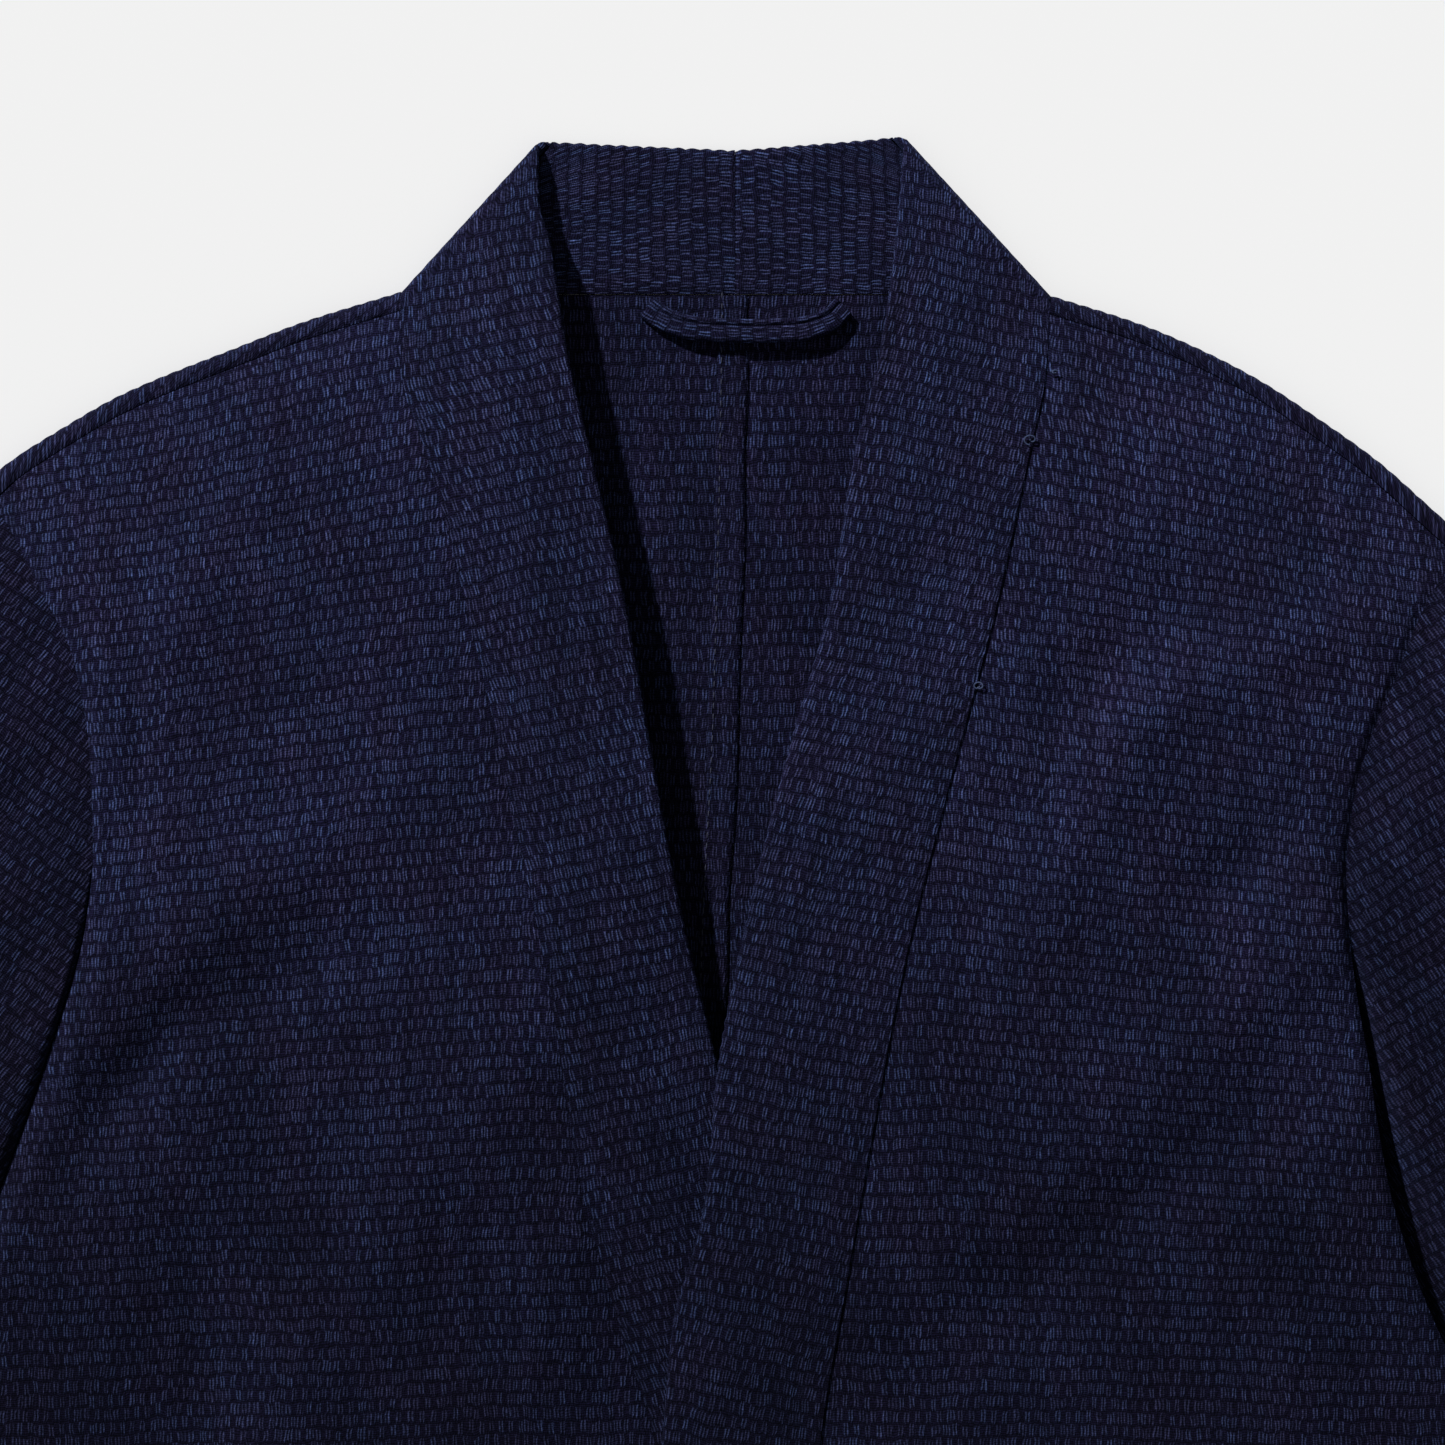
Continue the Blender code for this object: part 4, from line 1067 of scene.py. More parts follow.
def tube_shell(outer: np.ndarray, inner: np.ndarray) -> Tuple[np.ndarray, Faces]:
    """Joins the two faces of a tube with a rim at each end.

    Args:
        outer: (rings, points, 3) of the outer face.
        inner: the same of the inner face.

    Returns:
        The points and the faces.
    """
    rows, columns = outer.shape[:2]
    count = rows * columns
    faces = grid_quads(rows, columns, closed=True)
    faces += [tuple(k + count for k in reversed(quad)) for quad in faces[:]]
    for start, flip in ((0, True), ((rows - 1) * columns, False)):
        for j in range(columns):
            a, b = start + j, start + (j + 1) % columns
            rim = (a, b, b + count, a + count)
            faces.append(tuple(reversed(rim)) if flip else rim)
    return np.concatenate([outer.reshape(-1, 3), inner.reshape(-1, 3)]), faces


def strip_solid(sections: np.ndarray) -> Faces:
    """Lists the faces of a solid strip whose sections are closed loops, with its ends."""
    rows, columns = sections.shape[:2]
    faces = grid_quads(rows, columns, closed=True)
    faces.append(tuple(range(columns)))
    faces.append(tuple((rows - 1) * columns + j for j in range(columns - 1, -1, -1)))
    return faces


def declare_cloth(
    piece: bpy.types.Object,
    node: str,
) -> bpy.types.Object:
    """Args:
        piece: the piece.
        node: the CAD node that it stands for.

    Returns:
        The piece.
    """
    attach(piece, "root")
    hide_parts(node)
    return piece


@dataclass
class FrontPanel:
    """A front: lofted over the back and rolled down to the side seam and the armhole."""

    plan: Plan
    flat: Tuple[float, float] = (0.275, 0.735)
    rows: int = 292
    columns: int = 84
    turns: int = 26
    fell_ridges: Tuple = ((2.6, 2.6, 0.4), (6.9, 1.6, -0.3))
    seam_dip: float = 0.35
    seam_reach: float = 1.3
    hem: float = 16.0
    hem_dip: float = 0.6
    hem_path: np.ndarray = None
    pucker: float = 0.22
    pucker_wave: float = 13.0
    pucker_reach: float = 9.0
    cockle_fades: Tuple[float, float, float] = (12.0, 14.0, 8.0)
    armhole_fade: float = 30.0
    neck_dip: float = 0.25
    neck_reach: float = 1.2

    def grid(self, stations: np.ndarray) -> Tuple[np.ndarray, np.ndarray, np.ndarray]:
        """Works out the top of the front.

        Args:
            stations: the rows' shares of the way down.

        Returns:
            The points, their distances from the outer edge and those below the shoulder.
        """
        plan = self.plan
        start = np.array([plan.way * HALF_GAP, 0.0])

        def top(across: np.ndarray) -> np.ndarray:
            gap = start * (1 - across)[..., None]
            return plan.shoulder_point(across, SHOULDER_SEAM_INSET + SEAM_GAP) + gap

        def bottom(across: np.ndarray) -> np.ndarray:
            ends = plan.seam_at(np.ones(1)) + start, plan.outer_at(np.ones(1))
            return mix(ends[0], ends[1], across[..., None])

        seams = plan.seam_at(stations) + start
        width = np.linalg.norm(plan.outer_at(stations) - seams, axis=-1)
        shares = front_shares(width, self.columns, self.turns)
        down = stations[:, None]
        flat = coons(top, bottom, lambda d: plan.seam_at(d) + start, plan.outer_at, shares, down)
        below = np.linalg.norm(top(shares) - flat, axis=-1)
        outer = (1 - shares) * width[:, None]
        return with_height(flat, plan.front_height(flat, below, outer)), outer, below

    def details(self, grid: np.ndarray, outer: np.ndarray, below: np.ndarray) -> np.ndarray:
        """Returns the heights that the seams, the hem and the soft waves add."""
        x, y = grid[..., 0], grid[..., 1]
        seam = np.linalg.norm(grid[..., :2] - grid[:, :1, :2], axis=-1)
        fades = self.cockle_fades
        inside = smooth_step(below / fades[0]) * smooth_step(outer / fades[1]) * smooth_step(seam / fades[2])
        added = cockle(x, y) * inside
        armhole = smooth_step((y - self.plan.underarm_y) / self.armhole_fade) * smooth_step(below / 5.0)
        for place, half, rise in self.fell_ridges:
            added = added + rise * hump(outer, place, half) * armhole
        added = added - self.seam_dip * np.exp(-seam / self.seam_reach) * smooth_step(below / 8.0)
        added = added - self.neck_dip * np.exp(-below / self.neck_reach)
        wave = np.sin(2 * math.pi * y / self.pucker_wave + 1.7 * np.sin(y / 23.0))
        added = added + self.pucker * wave * np.exp(-seam / self.pucker_reach) * smooth_step(seam / 3.0)
        added = added + self.pucker * wave * np.exp(-outer / self.pucker_reach) * smooth_step(outer / 9.0)
        from_hem = y + BODY_LENGTH
        added = added - self.hem_dip * hump(from_hem, self.hem, HEM_HALF)
        return added

    def build(self, room: Workroom) -> bpy.types.Object:
        """Makes the front.

        Args:
            room: the frame's facts.

        Returns:
            The piece.
        """
        stations = np.linspace(0.0, 1.0, self.rows)
        grid, outer, below = self.grid(stations)
        grid[..., 2] += self.details(grid, outer, below)
        grid[:, -1, 2] = np.maximum(grid[:, -1, 2], FRONT_CLEARANCE + CLOTH / 2)
        row = int(np.argmin(np.abs(grid[:, 0, 1] + BODY_LENGTH - self.hem)))
        self.hem_path = grid[row, 2:-4] + np.array([0.0, 0.0, STITCH_RISE])
        inner = grid - grid_normals(grid) * SHELL * np.sign(grid_normals(grid)[..., 2:])
        inner[..., 2] = np.maximum(inner[..., 2], FRONT_CLEARANCE)
        x, y = grid[..., 0], grid[..., 1]
        droop = np.tan(np.radians(ROW_DROOP(y))) * np.maximum(np.abs(x) - ROW_DROOP_START, 0.0)
        cloth = np.stack([x / GRAIN, (y + droop) / ROW], axis=-1).reshape(-1, 2)
        points, faces = sheet_shell(grid, inner)
        label = self.plan.half.side.label
        cloth = np.concatenate([cloth, cloth])
        piece = room.piece(f"front_{label}_cloth", points, faces, cloth, "body_cloth")
        return declare_cloth(piece, f"front_{label}")


@dataclass
class BackPanel:
    """Half of the back: flat on the surface, rolled over the shoulder to its seam."""

    plan: Plan
    flat: Tuple[float, float] = (0.29, 0.745)
    rows: int = 128
    neck_columns: int = 34
    columns: int = 132
    turns: int = 10
    roll_steps: int = 14
    seam_dip: float = 0.2
    seam_reach: float = 1.4
    cockle_share: float = 0.35
    cockle_fades: Tuple[float, float] = (14.0, 12.0)
    level_drop: float = 0.25
    level_room: float = 0.2
    row_bumps: float = 0.38
    lip: float = 0.7
    lip_dip: float = 0.25

    def build(self, room: Workroom) -> bpy.types.Object:
        """Makes the back.

        Args:
            room: the frame's facts.

        Returns:
            The piece.
        """
        plan = self.plan
        way = plan.way
        outer_top = float(plan.armhole_point(FOLD_RADIUS)[1])
        centre = way * HALF_GAP
        width = np.array([np.linalg.norm(plan.outer_at(np.zeros(1)) - plan.seam_at(np.zeros(1)))])
        front = front_shares(width, self.columns, self.turns)[0]
        neck = NECK_SHARE * np.arange(self.neck_columns) / self.neck_columns
        shares = np.concatenate([neck, mix(NECK_SHARE, 1.0, front)])
        seam_end = plan.seam_point(FOLD_RADIUS)

        def top(across: np.ndarray) -> np.ndarray:
            share = np.clip((across - NECK_SHARE) / (1 - NECK_SHARE), 0.0, 1.0)
            gap = point(centre * (1 - share), -SEAM_GAP * (1 - share))
            shoulder = plan.shoulder_point(share, FOLD_RADIUS) + gap
            neck_part = np.clip(across / NECK_SHARE, 0.0, 1.0)
            turn = np.clip((neck_part - NECK_TURN) / (1 - NECK_TURN), 0.0, 1.0)
            shift = mix(float(CENTRE_SEAM(0.0)) + centre, 0.0, np.clip(neck_part / NECK_TURN, 0.0, 1.0))
            line = point(neck_part * seam_end[0] + shift, seam_end[1] * turn - SEAM_GAP)
            return np.where((across >= NECK_SHARE)[..., None], shoulder, line)

        def bottom(across: np.ndarray) -> np.ndarray:
            start = float(CENTRE_SEAM(-BODY_LENGTH)) + centre
            return point(mix(start, float(plan.side_x(-BODY_LENGTH)), across), -BODY_LENGTH)

        def inner(down: np.ndarray) -> np.ndarray:
            y = mix(-SEAM_GAP, -BODY_LENGTH, down)
            return point(CENTRE_SEAM(y) + centre, y)

        def outer(down: np.ndarray) -> np.ndarray:
            y = mix(outer_top, -BODY_LENGTH, down)
            return point(plan.outer_x(y), y)

        down = np.linspace(0.0, 1.0, self.rows)[:, None]
        across = np.broadcast_to(shares[None, :], (self.rows, len(shares)))
        flat = coons(top, bottom, inner, outer, across, down)
        x, y = flat[..., 0], flat[..., 1]
        from_centre = np.abs(x - CENTRE_SEAM(y))
        bare = smooth_step(from_centre / self.cockle_fades[0]) * smooth_step(-y / self.cockle_fades[1])
        dip = self.seam_dip * np.exp(-from_centre / self.seam_reach)
        lift = self.cockle_share * cockle(x, y) * bare - dip
        upper = with_height(flat, np.minimum(CLOTH - self.level_drop + lift, CLOTH + self.level_room))
        lower = with_height(flat, 0.0)
        cloth = np.stack([x / GRAIN, y / ROW], axis=-1)

        roll = self.roll(front, centre)
        first = self.neck_columns
        points, faces = sheet_shell(lower, upper)
        count = self.rows * len(shares)
        shoulder = len(points)
        drop = {(k, k + 1) for k in range(first, len(shares) - 1)}
        faces = [f for f in faces if not self.is_top_rim(f, drop, count)]
        width_now = len(front)
        steps = roll.shape[1]
        points = np.concatenate([points, roll[0].reshape(-1, 3), roll[1].reshape(-1, 3)])
        outer_rows = [[first + k for k in range(width_now)]]
        inner_rows = [[count + first + k for k in range(width_now)]]
        for i in range(steps):
            outer_rows.append([shoulder + i * width_now + k for k in range(width_now)])
            inner_rows.append([shoulder + (steps + i) * width_now + k for k in range(width_now)])
        for rows in (outer_rows, inner_rows):
            for a, b in zip(rows, rows[1:]):
                faces += [(a[k], a[k + 1], b[k + 1], b[k]) for k in range(width_now - 1)]
        for k in (0, width_now - 1):
            for i in range(steps):
                a, b = outer_rows[i][k], outer_rows[i + 1][k]
                faces.append((a, b, inner_rows[i + 1][k], inner_rows[i][k]))
        a, b = outer_rows[-1], inner_rows[-1]
        faces += [(a[k], a[k + 1], b[k + 1], b[k]) for k in range(width_now - 1)]
        turned = roll[0]
        arc = np.concatenate([lower[:1, first:], turned])
        run = np.concatenate([np.zeros((1, width_now)), np.linalg.norm(np.diff(arc, axis=0), axis=-1)])
        run = np.cumsum(run, axis=0)[1:]
        start_y = lower[0, first:, 1][None, :]
        rolled = np.stack([np.broadcast_to(turned[..., 0], run.shape) / GRAIN, (start_y + run) / ROW], -1)
        cloth = cloth.reshape(-1, 2)
        cloth = np.concatenate([cloth, cloth, rolled.reshape(-1, 2), rolled.reshape(-1, 2)])
        label = plan.half.side.label
        piece = room.piece(f"back_{label}_cloth", points, faces, cloth, "inner_cloth")
        return declare_cloth(piece, f"back_{label}")

    def is_top_rim(self, face: Tuple[int, ...], drop: set, count: int) -> bool:
        """Tells whether a face is the rim over which the shoulder's roll goes on."""
        low = sorted(k for k in face if k < count)
        return len(low) == 2 and (low[0], low[1]) in drop and len([k for k in face if k >= count]) == 2

    def roll(self, shares: np.ndarray, centre: float) -> np.ndarray:
        """Works out the roll over the shoulder.

        Args:
            shares: the columns' shares from the neck to the tip.
            centre: the gap beside the band's seam.

        Returns:
            An array of (outer and inner, steps, columns, 3) points.
        """
        outer, inner = [], []
        aside = point(centre * (1 - shares), np.zeros_like(shares))
        inside = FOLD_RADIUS - SHELL
        steps = [math.radians(mix(-90.0, 90.0, k / self.roll_steps)) for k in range(1, self.roll_steps + 1)]
        for angle in steps:
            inset = FOLD_RADIUS - FOLD_RADIUS * math.cos(angle)
            inner_inset = FOLD_RADIUS - inside * math.cos(angle)
            edge = self.plan.shoulder_point(shares, inset)
            bumps = self.row_bumps * np.abs(np.cos(math.pi * edge[:, 0] / ROW))
            bumps = bumps * math.cos(angle) ** 2
            edge = edge + aside
            edge[:, 1] += bumps
            outer.append(with_height(edge, FOLD_RADIUS + FOLD_RADIUS * math.sin(angle)))
            edge = self.plan.shoulder_point(shares, inner_inset) + aside
            inner.append(with_height(edge, FOLD_RADIUS + inside * math.sin(angle)))
        for inset, dip in ((SHOULDER_SEAM_INSET - self.lip, 0.0), (SHOULDER_SEAM_INSET, self.lip_dip)):
            edge = self.plan.shoulder_point(shares, inset) + aside
            outer.append(with_height(edge, FOLD_TOP - dip))
            inner.append(with_height(edge, FOLD_TOP - SHELL - dip))
        return np.stack([np.stack(outer), np.stack(inner)])


@dataclass
class CollarBand:
    """Half of the collar: folded double cloth from the centre back to the hem."""

    plan: Plan
    flat: Tuple[float, float] = (0.066, 0.84)
    neck_steps: int = 74
    roll_steps: int = 18
    stations: int = 610
    columns: int = 20
    edge_steps: int = 9
    row_relief: float = 0.26
    edge_swell: float = 1.2
    ridge_rise: float = 0.75
    ridge_width: float = 4.2
    seam_thin: float = 1.0
    seam_thin_reach: float = 8.0
    neck_end_share: float = 0.15
    centre_dip: float = 0.5
    centre_reach: float = 1.2
    wave_rise: float = 0.3
    wave_steps: Tuple[float, float] = (6.1, 17.0)
    wave_fade: float = 20.0
    cockle_share: float = 0.8
    mean_swell: float = 0.64
    uneven: float = 0.5

    def sections(self) -> Tuple[np.ndarray, np.ndarray]:
        """Works out the band's sections.

        Returns:
            The outer and the inner points, each (sections, columns, 3), from seam to edge.
        """
        plan = self.plan
        way = plan.way
        shares = np.linspace(0.0, 1.0, self.columns + 1)
        corner = np.array([float(plan.band_edge_x(plan.corner_y)), plan.corner_y])
        seam_end = plan.seam_point(FOLD_RADIUS)
        top_end = plan.half.collar_top_rows[-1].x
        outer, inner = [], []
        for k in range(self.neck_steps):
            step = k / self.neck_steps
            turn = max(0.0, (step - NECK_TURN) / (1 - NECK_TURN))
            seam = np.array([step * seam_end[0] + way * HALF_GAP * (1 - step), seam_end[1] * turn])
            x = mix(way * HALF_GAP, top_end, step)
            edge = np.array([x, float(plan.collar_top_y(x))])
            line = mix(seam, edge, shares[:, None])
            from_seam = shares * np.linalg.norm(edge - seam)
            rise = self.ridge_rise * hump(from_seam, self.ridge_width / 2, self.ridge_width / 2)
            rise = rise - self.seam_thin * (1 - smooth_step(from_seam / self.seam_thin_reach))
            rise = rise * smooth_step((1 - step) / self.neck_end_share)
            centre_dip = self.centre_dip * math.exp(-abs(x) / self.centre_reach)
            wave = self.wave_rise * np.sin(x / self.wave_steps[0] + from_seam / self.wave_steps[1])
            wave = wave * smooth_step(from_seam / self.wave_fade)
            outer.append(with_height(line, BAND_CLOTH + rise - centre_dip + wave))
            inner.append(with_height(line, 0.0))
        inside = FOLD_RADIUS - BAND_CLOTH
        for k in range(self.roll_steps + 1):
            angle = math.radians(mix(-90.0, 90.0, k / self.roll_steps))
            places = []
            for radius in (FOLD_RADIUS, inside):
                inset = FOLD_RADIUS - radius * math.cos(angle)
                seam = plan.seam_point(inset) + np.array([-way * HALF_GAP, 0.0])
                if angle < 0:
                    edge = corner + np.array([-way * inset, 0.0])
                else:
                    y = plan.corner_y - inset
                    edge = np.array([float(plan.band_edge_x(y)), y])
                line = mix(seam, edge, shares[:, None])
                places.append(with_height(line, FOLD_RADIUS + radius * math.sin(angle)))
            if angle < 0 or k < self.roll_steps:
                outer.append(places[0])
                inner.append(places[1])
        stations = np.linspace(0.0, 1.0, self.stations)
        seam = plan.seam_at(stations)
        drop = plan.front_start - seam[:, 1]
        lead = (plan.corner_y - plan.neck[1]) * smooth_step(1 - drop / BAND_LEAD_FADE)
        edge_y = np.maximum(seam[:, 1] + lead, -BODY_LENGTH)
        edge = point(plan.band_edge_x(edge_y), edge_y)
        seam_z = plan.front_height(seam, drop, np.full_like(drop, BODY_LENGTH))
        seam_z = seam_z + plan.half.band_raise * smooth_step(drop / BAND_RAISE_FADE)
        edge_z = plan.band_edge_z(edge_y) - plan.under_lap(edge[:, 0], edge[:, 1])
        seam = seam + np.array([-way * HALF_GAP, 0.0])
        line = mix(seam[:, None, :], edge[:, None, :], shares[None, :, None])
        crown = BAND_CROWN * np.sin(math.pi * shares)[None, :]
        crown = crown * smooth_step(stations / BAND_CROWN_START)[:, None]
        z = mix(seam_z[:, None], edge_z[:, None], smooth_step(shares)[None, :]) + crown
        inner_z = z - BAND_CLOTH
        x, y = line[..., 0], line[..., 1]
        fade = smooth_step(drop / self.wave_fade)[:, None] * np.sin(math.pi * shares)[None, :]
        z = z + self.cockle_share * cockle(x, y) * fade
        outer += list(with_height(line, z))
        inner += list(with_height(line, inner_z))
        return np.stack(outer), np.stack(inner)

    def cloth_rows(self, loop: np.ndarray) -> np.ndarray:
        """Works out which row of the weave each point of the band has.

        Args:
            loop: the (sections, points, 3) points.

        Returns:
            The rows: upright beside the centre back, and square to the band down the front.
        """
        x, y = loop[..., 0], loop[..., 1]
        lean = np.radians(BAND_LEAN(loop[:, :1, 1]))
        down = BAND_MAP_START - self.plan.way * x * np.sin(lean) - y * np.cos(lean)
        neck, front = self.neck_steps, self.neck_steps + self.roll_steps
        rows = down / ROW
        rows[:neck] = np.abs(x[:neck]) / ROW
        share = np.linspace(0.0, 1.0, front - neck + 2)[1:-1, None]
        rows[neck:front] = mix(rows[neck - 1], rows[front], share)[: front - neck]
        return rows + (BAND_ROW_SHIFT if self.plan.half.side is Side.RIGHT else 0.0)

    def build(self, room: Workroom) -> bpy.types.Object:
        """Makes the band, with a round folded edge.

        Args:
            room: the frame's facts.

        Returns:
            The piece.
        """
        outer, inner = self.sections()
        middle = self.columns // 2
        span = outer[:, -1] - outer[:, 0]
        width = np.linalg.norm(span, axis=-1)
        flat_way = span / width[:, None]
        thick = (outer - inner) / 2
        radius = np.linalg.norm(thick[:, -1], axis=-1)
        keep = 1 - radius / width
        shares = np.linspace(0.0, 1.0, self.columns + 1)[None, :] * keep[:, None]
        place = shares * self.columns
        low = np.clip(np.floor(place).astype(int), 0, self.columns - 1)
        part = (place - low)[..., None]
        row = np.arange(len(outer))[:, None]
        over = mix(outer[row, low], outer[row, low + 1], part)
        under = mix(inner[row, low], inner[row, low + 1], part)
        centre = (over[:, -1] + under[:, -1]) / 2
        half = (over[:, -1] - under[:, -1]) / 2
        bend = np.pi * np.arange(1, self.edge_steps) / self.edge_steps
        arc = (
            centre[:, None]
            + half[:, None] * np.cos(bend)[None, :, None]
            + flat_way[:, None] * radius[:, None, None] * np.sin(bend)[None, :, None]
        )
        loop = np.concatenate([over, arc, under[:, ::-1]], axis=1)
        run = np.linalg.norm(np.diff(loop, axis=1), axis=-1)
        run = np.concatenate([np.zeros((len(loop), 1)), np.cumsum(run, axis=1)], axis=1)
        rows = self.cloth_rows(loop)
        lean = np.radians(BAND_LEAN(loop[:, 0, 1]))
        square = np.stack([self.plan.way * np.cos(lean), -np.sin(lean)], axis=-1)
        slant = np.abs(np.sum(flat_way[:, :2] * square, axis=-1))
        front = self.neck_steps + self.roll_steps
        slant[:front] = slant[front]
        slant[: self.neck_steps] = 1.0
        run = run * slant[:, None]

        normals = grid_normals(loop)
        count = self.columns + self.edge_steps
        facing = np.sign(np.sum((loop - centre[:, None]) * normals, axis=-1, keepdims=True))
        facing[:, : self.columns + 1] = np.sign(
            np.sum(normals * np.broadcast_to(thick[:, middle : middle + 1], normals.shape), -1, keepdims=True)
        )[:, : self.columns + 1]
        swell = self.row_relief * (np.abs(np.cos(math.pi * rows)) - self.mean_swell)
        swell[:, count:] = 0.0
        fold = hump(np.arange(swell.shape[1]), self.columns + self.edge_steps / 2, self.edge_steps / 2 + 2)
        uneven = 1 + self.uneven * np.sin(rows[:, :1] * 1.9 + 2.0 * np.sin(rows[:, :1] * 0.37))
        swell = swell * (1 + self.edge_swell * fold[None, :] * uneven)
        swell[:, 0] = 0.0
        loop = loop + normals * facing * swell[..., None]
        cloth = np.stack([run / GRAIN, rows], axis=-1).reshape(-1, 2)
        label = self.plan.half.side.label
        faces = strip_solid(loop)
        piece = room.piece(f"collar_{label}_cloth", loop.reshape(-1, 3), faces, cloth, "band_cloth")
        return declare_cloth(piece, f"collar_{label}")


@dataclass
class Sleeve:
    """A sleeve: a flattened tube whose lower edge lies tucked along the armhole."""

    plan: Plan
    flat: Tuple[float, float] = (0.43, 0.60)
    rings: int = 190
    armhole_steps: int = 60
    stations: int = 66
    edge_set: float = 12.0
    edge_steps: int = 9
    cockle_fade: float = 12.0
    hem: float = 16.0
    hem_dip: float = 0.5
    hem_fade: float = 6.0
    hem_path: np.ndarray = None

    def armhole_line(self) -> Tuple[np.ndarray, np.ndarray, np.ndarray]:
        """Works out the sleeve's seam down the armhole.

        Returns:
            The plan points, the front's heights there and the shares of the way down.
        """
        plan = self.plan
        bend = np.radians(np.linspace(0.0, 80.0, 8))
        rolled = plan.armhole_point(FOLD_RADIUS - FOLD_RADIUS * np.cos(bend))
        rolled_z = FOLD_RADIUS + FOLD_RADIUS * np.sin(bend)
        shares = np.linspace(0.0, 1.0, self.armhole_steps)
        under = (plan.outer_start - plan.underarm_y) / (plan.outer_start + BODY_LENGTH)
        edge = plan.outer_at(shares * under)
        line = np.concatenate([rolled, edge])
        heights = np.concatenate([rolled_z, plan.outer_z(edge[:, 1])])
        ahead = np.gradient(line, axis=0)
        aside = np.stack([ahead[:, 1], -ahead[:, 0]], axis=-1)
        aside = unit(aside) * SEAM_GAP
        aside = aside * np.sign(aside[:, :1] * plan.way)
        return line + aside, heights, np.concatenate([np.full(8, -1.0), shares])

    def build(self, room: Workroom) -> bpy.types.Object:
        """Makes the sleeve.

        Args:
            room: the frame's facts.

        Returns:
            The piece.
        """
        plan, half = self.plan, self.plan.half
        lean = math.radians(half.sleeve_lean)
        lengthways = np.array([plan.way * math.sin(lean), -math.cos(lean)])
        sideways = np.array([-plan.way * math.cos(lean), -math.sin(lean)])
        line, heights, marks = self.armhole_line()
        tuck = int(np.searchsorted(marks, TUCK_ROWS[0].share))
        run = along(line[: tuck + 1])
        total = run[-1]
        edge = self.edge_set
        bend = 1 - np.cos(math.pi / 2 * np.linspace(0.0, 1.0, self.edge_steps))
        ends = edge * bend
        middle = np.linspace(edge, total - edge, self.stations - 16)[1:-1]
        spots = np.concatenate([ends, middle, total - ends[::-1]])
        first = np.stack([np.interp(spots, run, line[: tuck + 1, k]) for k in (0, 1)], axis=-1)
        first_z = np.interp(spots, run, heights[: tuck + 1])
        low_z = mix(half.tuck_height, first_z, (total - spots) / edge)
        first_z = np.where(total - spots < edge, low_z, first_z)

        tip, under = line[0], line[-1]
        cuff_outer = tip + lengthways * half.sleeve_reach
        cuff_inner = cuff_outer + sideways * half.cuff
        share_of = curve([(row.ring, row.share) for row in TUCK_ROWS])
        tucked_end = TUCK_ROWS[-1].ring
        t = np.linspace(0.0, 1.0, self.rings)
        on_armhole = np.clip(share_of(np.minimum(t, tucked_end)), 0.0, 1.0)
        armhole = marks >= 0.0
        held = np.stack([np.interp(on_armhole, marks[armhole], line[armhole, k]) for k in (0, 1)], axis=-1)
        free = mix(under, cuff_inner, (np.clip(t - tucked_end, 0.0, 1.0) / (1 - tucked_end))[:, None])
        end = np.where((t < tucked_end)[:, None], held, free)
        start = mix(tip, cuff_outer, t[:, None])
        width = np.linalg.norm(end - start, axis=-1)

        scale = (width[:, None] - 2 * edge) / (total - 2 * edge)
        near = spots[None, :]
        inset_out = np.where(near <= edge, near, edge + (near - edge) * scale)
        inset_out = np.where(near >= total - edge, width[:, None] - (total - near), inset_out)
        shares = inset_out / width[:, None]
        aways = first - mix(tip, first[-1], shares[0][:, None])
        pull = 1 - smooth_step(t * half.sleeve_reach / ARMHOLE_FADE)
        places = mix(start[:, None], end[:, None], shares[..., None])
        places = places + aways[None] * pull[:, None, None]
        blend = smooth_step(t * half.sleeve_reach / SLEEVE_BLEND)[:, None]
        tucked = (1 - smooth_step((t - half.tuck_hold * tucked_end) / tucked_end))[:, None]
        inset = np.minimum(inset_out, width[:, None] - inset_out)
        outer_side = shares < 0.5
        edges = np.where(outer_side, FOLD_RADIUS, mix(FOLD_RADIUS, half.tuck_height, tucked))
        reach = np.where(outer_side, SLEEVE_ROLL, mix(SLEEVE_ROLL, TUCK_ROLL, tucked))
        relief = fold_relief(half.sleeve_folds, places[..., 0], places[..., 1])
        relief = relief + cockle(places[..., 0], places[..., 1]) * smooth_step(inset / self.cockle_fade)
        roll = quarter_round(inset, reach)
        if half.tuck_valley > 0:
            valley = smooth_step((inset - VALLEY_FLOOR) / half.tuck_valley)
            roll = np.where(outer_side, roll, mix(roll, np.minimum(roll, valley), tucked))
        loose = mix(edges, SLEEVE_LOFT(t)[:, None] + relief, roll)
        tops = mix(first_z[None], loose, blend)
        bottoms = edges * (1 - quarter_round(inset, SLEEVE_FLAT))
        from_cuff = (1 - t)[:, None] * half.sleeve_reach
        tops = tops - self.hem_dip * hump(from_cuff, self.hem, HEM_HALF) * smooth_step(inset / self.hem_fade)
        row = int(np.argmin(np.abs(from_cuff[:, 0] - self.hem)))
        self.hem_path = with_height(places[row], tops[row] + STITCH_RISE)[4:-4]

        towards = unit(np.gradient(places, axis=1))
        towards = np.where(outer_side[..., None], towards, -towards)
        shift = SHELL * (1 - quarter_sine(inset, SLEEVE_ROLL))
        inside = places + towards * shift[..., None]
        spread = SLEEVE_WEDGE * np.minimum(inset, SLEEVE_FLAT)
        inner_tops = np.maximum(tops - SHELL, edges + spread)
        inner_bottoms = np.minimum(bottoms + SHELL, edges - spread)
        outer = self.ring(places, tops, bottoms)
        inner = self.ring(inside, inner_tops, inner_bottoms)

